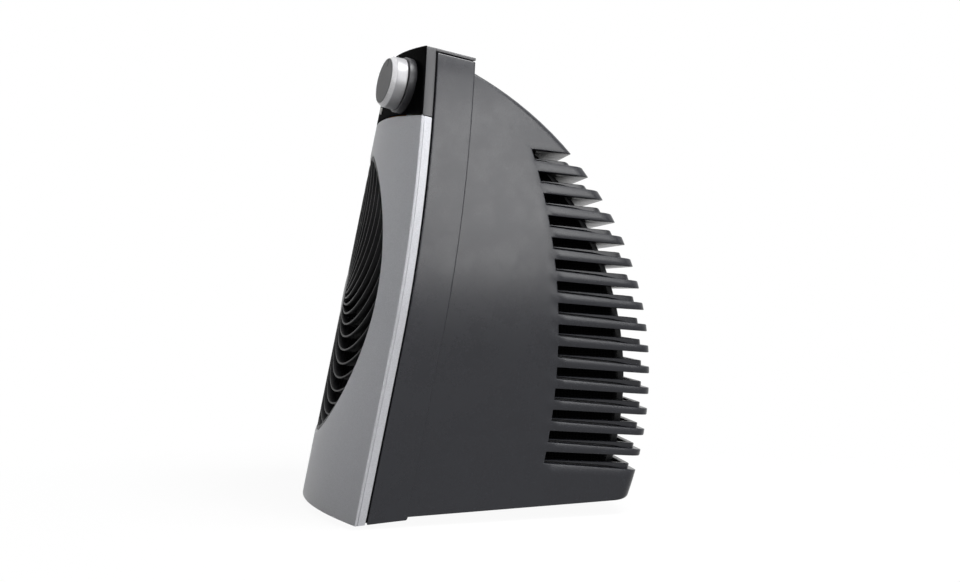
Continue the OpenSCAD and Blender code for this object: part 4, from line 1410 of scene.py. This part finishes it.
@dataclass(frozen=True)
class Bezel:
    """The silver front: a bowed face round the outlet, and the strip along the sides."""

    throat: float = 9.0
    mouth: float = 2.2
    edge: float = 0.8
    face_in: float = 3.0
    groove_at: float = 1.5
    groove_w: float = 0.6
    groove_deep: float = 0.4
    back_edge: float = 0.3

    def build(self) -> None:
        """Makes the bezel, as rows from the outlet's throat over the face and the strip and back inside."""
        strip, wall = CASE.strip, CASE.wall
        path = Outline(CASE.panel_w - CASE.hairline, corner=self.edge, arch=CASE.panel_arch)
        flat = path.flat(self.face_in, 0.0)
        angle = np.arctan2(flat[:, 1] - OUTLET.w, flat[:, 0])
        rows = [OUTLET.ring(angle, 0.0, depth) for depth in (self.throat, self.mouth + 2)]
        for t in np.linspace(0, QUARTER, 6):
            rows.append(OUTLET.ring(angle, self.mouth * (1 - math.cos(t)), self.mouth * (1 - math.sin(t))))
        rows += self.between(OUTLET.flat(angle, self.mouth), flat, 0.0, (0.1, 0.25, 0.42, 0.6, 0.78, 0.92))
        rows += [path.points(off, 0.0) for off in (self.face_in, (self.face_in + self.edge) / 2)]
        for t in np.linspace(0, QUARTER, 5):
            rows.append(path.points(self.edge * (1 - math.sin(t)), self.edge * (1 - math.cos(t))))
        dip, at, wide = self.groove_deep, self.groove_at, self.groove_w
        outside = [(0.0, at), (dip, at + wide * 0.25), (dip, at + wide * 0.75), (0.0, at + wide)]
        outside += [(0.0, strip * 0.6), (0.0, strip - self.back_edge), (self.back_edge, strip)]
        outside += [(wall, strip), (wall, wall)]
        rows += [path.points(off, depth) for off, depth in outside]
        rows += self.between(path.flat(wall, wall), OUTLET.flat(angle, wall), wall, (0.4, 0.75))
        rows += [OUTLET.ring(angle, wall, depth) for depth in (wall, self.throat)]
        Shell().sweep(rows).piece("front_bezel_shell", SILVER, ["front_bezel"])

    def between(
        self, start: Array, end: Array, depth: float, shares: Sequence[float]
    ) -> list[Array]:
        """Rows part of the way from one flat outline to another, at a depth behind the bowed front."""
        return [CASE.at_front(*(start * (1 - t) + end * t).T, depth) for t in shares]


@dataclass(frozen=True)
class Grille:
    """The outlet grille: swirled ribs between a hub and an oval rim, all on one bow."""

    ribs: int = 36
    recess: float = 0.7
    bow: float = 272.0
    hub_r: float = 18.0
    cap_r: float = 14.0
    swirl: float = 56.0
    rib_t: float = 1.25
    rib_deep: float = 6.0
    rib_end: float = 0.8
    rim_w: float = 3.0
    rim_gap: float = 0.25
    rim_deep: float = 7.0

    def build(self) -> None:
        """Makes the ribs, the rim and the hub."""
        self.rib_set()
        self.rim()
        self.hub()

    def rib_set(self) -> None:
        """Makes the swirled ribs, from the hub to the rim."""
        sizes = {"Hub": self.hub_r - 1, "Rim": 100.0, "Swirl": self.swirl, "Thickness": self.rib_t}
        sizes |= {"Depth": self.rib_deep, "Recess": self.recess, "Bow": self.bow}
        sizes |= {"Wide": OUTLET.half_width - self.rib_end, "High": OUTLET.half_height - self.rib_end}
        maker = Maker("swirled_ribs", sizes, self.ribs)
        count, hub, rim, swirl, thick, deep, recess, bow, wide, high = maker.inputs("Count", *sizes)
        fine, along = maker.steps(22)
        far = hub + (rim - hub) * along
        turn = (far / (swirl * 2)).math("ARCSINE") + QUARTER
        bent = maker.placed(fine, far * turn.math("COSINE"), far * turn.math("SINE"), 0.0)
        step = maker.joined(0.0, 0.0, maker.value("InputIndex") * (2 * math.pi) / count)
        made = maker.copies(maker.dots(count), maker.blade(bent, thick, deep, 0.35), Rotation=step)
        real = maker.value("RealizeInstances", {"Geometry": made})
        x, y, z = maker.apart(maker.value("InputPosition"))
        out = ((x * x + y * y).math("SQRT") / rim) ** 2
        x, y = (along * (1 + out * (half / rim - 1)) for along, half in ((x, wide), (y, high)))
        sag = bow - (bow**2 - x * x).math("SQRT")
        made = maker.placed(real, x, y, z - sag - recess - deep * 0.5)
        maker.piece("grille_ribs", GRILLE_BLACK, made, ["outlet_grille"], CASE.axis_place(OUTLET.w))

    def rim(self) -> None:
        """Makes the oval rim, on the grille's own bow."""
        angle = np.linspace(0, 2 * math.pi, 180, endpoint=False)
        corners = [(-self.rim_gap, self.rim_deep, 0.0), (-self.rim_gap, 0.2, 0.3)]
        corners += [(-self.rim_w, 0.2, 0.6), (-self.rim_w, self.rim_deep, 0.0)]
        rows = []
        for grow, depth in rounded(corners):
            x, w = OUTLET.flat(angle, grow).T
            rows.append(CASE.upright(x, self.bow - np.sqrt(self.bow**2 - x**2) + self.recess + depth, w))
        Shell().sweep(rows).piece("grille_rim", GRILLE_BLACK)

    def hub(self) -> None:
        """Makes the hub's ring and its blank domed cap."""
        place, inner, outer = CASE.axis_place(OUTLET.w), self.cap_r + 0.2, self.hub_r
        ring = [(inner, -6, 0.0), (inner, -0.1, 0.4), (outer, -0.3, 0.9), (outer, -6, 0.0)]
        profile = rounded([(r, z - self.recess, edge) for r, z, edge in ring])
        Shell().lathe(profile, close=True).piece("grille_hub_ring", GRILLE_BLACK, place=place)
        r = self.cap_r - 0.1
        cap = [(r, -2.0), (r, -0.5), (r - 0.15, -0.25), (r - 0.5, -0.1), (r * 0.8, 0.15), (r * 0.55, 0.35)]
        profile = [(r, z - self.recess) for r, z in [*cap, (r * 0.28, 0.45)]]
        Shell().lathe(profile).piece("grille_hub_cap", RING_GREY, ["grille_hub"], place=place)


@dataclass(frozen=True)
class Knob:
    """The thermostat knob on its ring."""

    at: float = 15.4
    bore: float = 3.1
    ring_r: float = 17.2
    ring_h: float = 4.4
    body_r: float = 16.0
    face_r: float = 13.9
    top: float = 14.4
    cap_r: float = 13.7
    gap: float = 0.35

    def build(self) -> None:
        """Makes the ring, the knob, its edge band of painted highlight, its face and its pointer."""
        place = CASE.panel_place(self.at, CASE.control_w)
        outer, ring_top, body, face = self.ring_r, self.ring_h, self.body_r, self.face_r
        ring = [(10.4, -0.8, 0.0), (10.4, ring_top - 0.6, 0.3), (outer - 1.6, ring_top - 0.6, 0.15)]
        ring += [(outer - 1.5, ring_top, 0.12), (outer, ring_top, 0.45), (outer, -0.8, 0.0)]
        low, top, seat = ring_top + self.gap, self.top, self.cap_r + 0.1
        knob = [(self.bore, low, 0.0), (body, low, 0.5), (body - 0.3, top - 3.0, 1.2)]
        knob += [(face, top - 0.1, 0.15), (seat, top - 0.12, 0.0), (seat, top - 1.2, 0.0)]
        knob += [(self.bore, top - 1.2, 0.0)]
        # The edge band: a thin lighter shell over the knob's rounded edge, a painted highlight.
        edge = [(body - 0.42, -2.75), (face - 0.02, -0.16), (face + 0.12, -0.05), (body - 0.18, -2.7)]
        edge = [(r, top + z) for r, z in edge]
        r = self.cap_r
        cap = [(r, top - 1.15), (r, top - 0.45), (r - 0.12, top - 0.28), (r - 0.4, top - 0.2)]
        cap += [(r * share, top - 0.2) for share in (0.8, 0.5, 0.2)]
        bar = [(0.0, -0.3), (0.0, 0.1), (0.1, 0.18), (0.2, 0.2)]
        pointer = button(0.45, 2.3, [(shrink, top - 0.25 + z, 0.45 - shrink) for shrink, z in bar], 11.2)
        for shell, name, finish, nodes, rides in (
            (Shell().lathe(rounded(ring), 128, True), "dial_ring_collar", RING_GREY, ["dial_ring"], CASING),
            (Shell().lathe(rounded(knob), 128, True), "knob_body", KNOB_SILVER, ["control_knob"], "knob"),
            (Shell().lathe(edge, 128, True), "knob_painted_highlight_band", KNOB_PAINTED_HIGHLIGHT, [], "knob"),
            (Shell().lathe(cap), "knob_face", KNOB_FACE, ["knob_cap"], "knob"),
            (pointer, "knob_pointer", KNOB_FACE, [], "knob"),
        ):
            shell.piece(name, finish, nodes, rides, place)


@dataclass(frozen=True)
class Underside:
    """The feet and the screws under the base, where the frame has them."""

    foot_r: float = 9.0
    foot_h: float = 9.6
    screw_r: float = 3.0
    screw_reach: float = 8.0

    def build(self) -> None:
        """Makes the four ribbed rubber feet and the cross-headed screws."""
        r = self.foot_r
        profile = [(2.0, 1.2), (3.2, 0.9), (4.0, 0.0), (r - 3.0, 0.0), (r - 2.6, 0.7), (r - 2.0, 0.7)]
        profile += [(r - 1.6, 0.0), (r - 0.9, 0.0), (r - 0.25, 0.35), (r, 1.1), (r, self.foot_h)]
        feet = Shell()
        for x, y, _ in self.places("rubber_feet", 2 * r):
            part = Shell().lathe(profile, 48)
            first = feet.add(np.concatenate(part.points) + (x / MM, y / MM + CASE.mid_y, 0.0))
            feet.faces += [tuple(i + first for i in face) for face in part.faces]
        feet.piece("foot_pads", RUBBER, ["rubber_feet"])
        self.screws()

    def screws(self) -> None:
        """Makes the screws' heads."""
        sizes = {"Head": self.screw_r, "Height": 2.0, "Slot": 0.8, "Deep": 1.1}
        maker = Maker("cross_screws", sizes)
        radius, height, slot, deep = maker.inputs(*sizes)
        head = maker.value("MeshCylinder", {"Vertices": 32, "Radius": radius, "Depth": height})
        long, arms = radius * 1.3, maker.node("JoinGeometry")
        for x, y in ((long, slot), (slot, long)):
            cube = maker.value("MeshCube", {"Size": maker.joined(x, y, deep)})
            down = maker.joined(0.0, 0.0, height * -0.5)
            maker.feed(arms.inputs[0], maker.value("Transform", {"Geometry": cube, "Translation": down}))
        cut = maker.value("MeshBoolean", {"Mesh 1": head, "Mesh 2": arms.outputs[0]}, operation="DIFFERENCE")
        made = maker.copies(maker.inputs("Geometry")[0], cut)
        heads = self.places("case_screws", self.screw_reach)
        maker.piece("base_screw_heads", STEEL, made, ["case_screws"], seeds=heads)

    def places(self, node: str, reach: float) -> list[tuple[float, float, float]]:
        """The middles of a node's separate solids, near their lowest points, in metres.

        Args:
            node: The node's name.
            reach: How far a solid reaches sideways from any of its points, in millimetres.

        Returns:
            One place for each solid.
        """
        points = np.array([v.co for v in frame["nodes"][node].data.vertices])
        left = np.ones(len(points), bool)
        found: list[tuple[float, float, float]] = []
        while left.any():
            near = left & (np.hypot(*(points - points[left.argmax()])[:, :2].T) <= reach * MM * 1.01)
            left &= ~near
            low, high = points[near].min(0), points[near].max(0)
            found.append(((low[0] + high[0]) / 2, (low[1] + high[1]) / 2, low[2] + MM))
        return found


def dress_frame() -> None:
    """Gives every node of the frame that still shows its own finish."""
    by_slot = {finish.slot: finish for finish in MAIN_FINISHES}
    slots = {row["node"]: row["material_slot"] for row in frame["record"]["subparts"]}
    for name, node in frame["nodes"].items():
        finish = BASE_GREY if name == "base_plate" else by_slot[slots[name]]
        node.data.materials.clear()
        node.data.materials.append(finish.material())
        LOG.info("%s wears %s", name, finish.name)


# ---- the studio


@dataclass(frozen=True)
class Studio:
    """The pale floor, the soft lamps and the camera."""

    target: tuple[float, float, float] = (0.0, 0.0109, 0.1385)
    distance: float = 0.9889
    azimuth: float = math.radians(83.24)
    elevation: float = math.radians(0.07)
    lens: float = 55.1
    glow: float = 0.94
    fill: float = 0.11
    floor_half: float = 3.0

    def build(self) -> None:
        """Makes the camera, the lamps, the floor and the world."""
        flat = math.cos(self.elevation)
        side = (math.sin(self.azimuth) * flat, -math.cos(self.azimuth) * flat)
        away = Vector((*side, math.sin(self.elevation)))
        camera = bpy.data.cameras.new("camera")
        camera.lens, camera.sensor_width, camera.clip_start = self.lens, 36.0, 0.01
        bpy.context.scene.camera = self.aimed(camera, Vector(self.target) + away * self.distance)
        self.lamp("front_soft", (0.7, -1.05, 0.62), (0.25, 0.3), 0.05, 10.0)
        self.lamp("edge_soft", (1.35, -0.2, 0.8), (0.25, 0.5), 2.0)
        self.lamp("side_soft", (1.2, 0.8, 0.72), (0.45, 1.0), 12.5)
        self.lamp("top_soft", (0.4, 0.45, 1.5), (0.8, 0.6), 29.0)
        self.lamp("back_soft", (0.3, 1.4, 0.7), (0.8, 0.8), 1.6)
        self.floor()
        self.world()

    def aimed(self, data: bpy.types.ID, place: Sequence[float]) -> bpy.types.Object:
        """Puts a camera or a lamp at a place, facing the heater.

        Args:
            data: The camera or the lamp.
            place: The place, in metres.

        Returns:
            Its object.
        """
        made = bpy.data.objects.new(data.name, data)
        made.location = place
        made.rotation_euler = (Vector(self.target) - Vector(place)).to_track_quat("-Z", "Y").to_euler()
        bpy.context.scene.collection.objects.link(made)
        return made

    def lamp(
        self, name: str, place: Sequence[float], size: Sequence[float], power: float, spread: float = 180.0
    ) -> None:
        """Adds a soft rectangular lamp.

        Args:
            name: Its name.
            place: Its place, in metres.
            size: Its width and height.
            power: Its power in watts.
            spread: The spread of its beam in degrees.
        """
        data = bpy.data.lights.new(name, "AREA")
        data.shape = "RECTANGLE"
        (data.size, data.size_y), data.energy, data.spread = size, power, math.radians(spread)
        self.aimed(data, place)

    def seen(self, graph: Graph) -> Value:
        """Asks where a ray comes from.

        Args:
            graph: The tree of the floor or the world.

        Returns:
            1 for a ray from the camera, a mirror or a clear piece, and 0 for others.
        """
        path = graph.node("LightPath")
        camera, glossy, through = (
            Value(graph, path.outputs[f"Is {kind} Ray"]) for kind in ("Camera", "Glossy", "Transmission")
        )
        return camera.math("MAXIMUM", glossy).math("MAXIMUM", through)

    def floor(self) -> None:
        """Makes the pale floor, which shows white but keeps the heater's shadow."""
        material = bpy.data.materials.new("floor_white")
        graph = blank(material)
        seen = self.seen(graph)
        paper = graph.value("BsdfDiffuse", {"Color": graph.ramp(seen, 0.0, 1.0, 0.15, 0.8)})
        glow = graph.value("Emission", {"Color": (1.0, 1.0, 1.0), "Strength": 1.0})
        place = graph.value("TexCoord", output="Object")
        away = graph.value("VectorMath", {0: place}, "Value", operation="LENGTH")
        share = seen * graph.ramp(away, 0.22, 0.4, self.glow)
        graph.node("OutputMaterial", {"Surface": graph.value("MixShader", {0: share, 1: paper, 2: glow})})
        r = self.floor_half
        mesh = bpy.data.meshes.new("floor")
        mesh.from_pydata([(-r, -r, 0.0), (r, -r, 0.0), (r, r, 0.0), (-r, r, 0.0)], [], [(0, 1, 2, 3)])
        mesh.materials.append(material)
        piece = bpy.data.objects.new("floor", mesh)
        bpy.context.scene.collection.objects.link(piece)

    def world(self) -> None:
        """Makes the world: white where it is seen, and a dim even light elsewhere."""
        made = bpy.data.worlds.new("studio")
        bpy.context.scene.world = made
        graph = blank(made)
        strength = self.seen(graph) * (1.0 - self.fill) + self.fill
        shader = graph.value("Background", {"Color": (1.0, 1.0, 1.0), "Strength": strength})
        graph.node("OutputWorld", {"Surface": shader})
        bpy.context.scene.view_settings.view_transform = "Standard"


def main() -> None:
    """Builds the studio and then the heater's pieces in order."""
    logging.basicConfig(level=logging.INFO, format="%(message)s")
    Studio().build()
    dress_frame()
    for part in (FrontBlock, BackShell, TopCover, ControlPanel, Bezel, Grille, Knob, Underside):
        part().build()


if __name__ == "__main__":
    main()
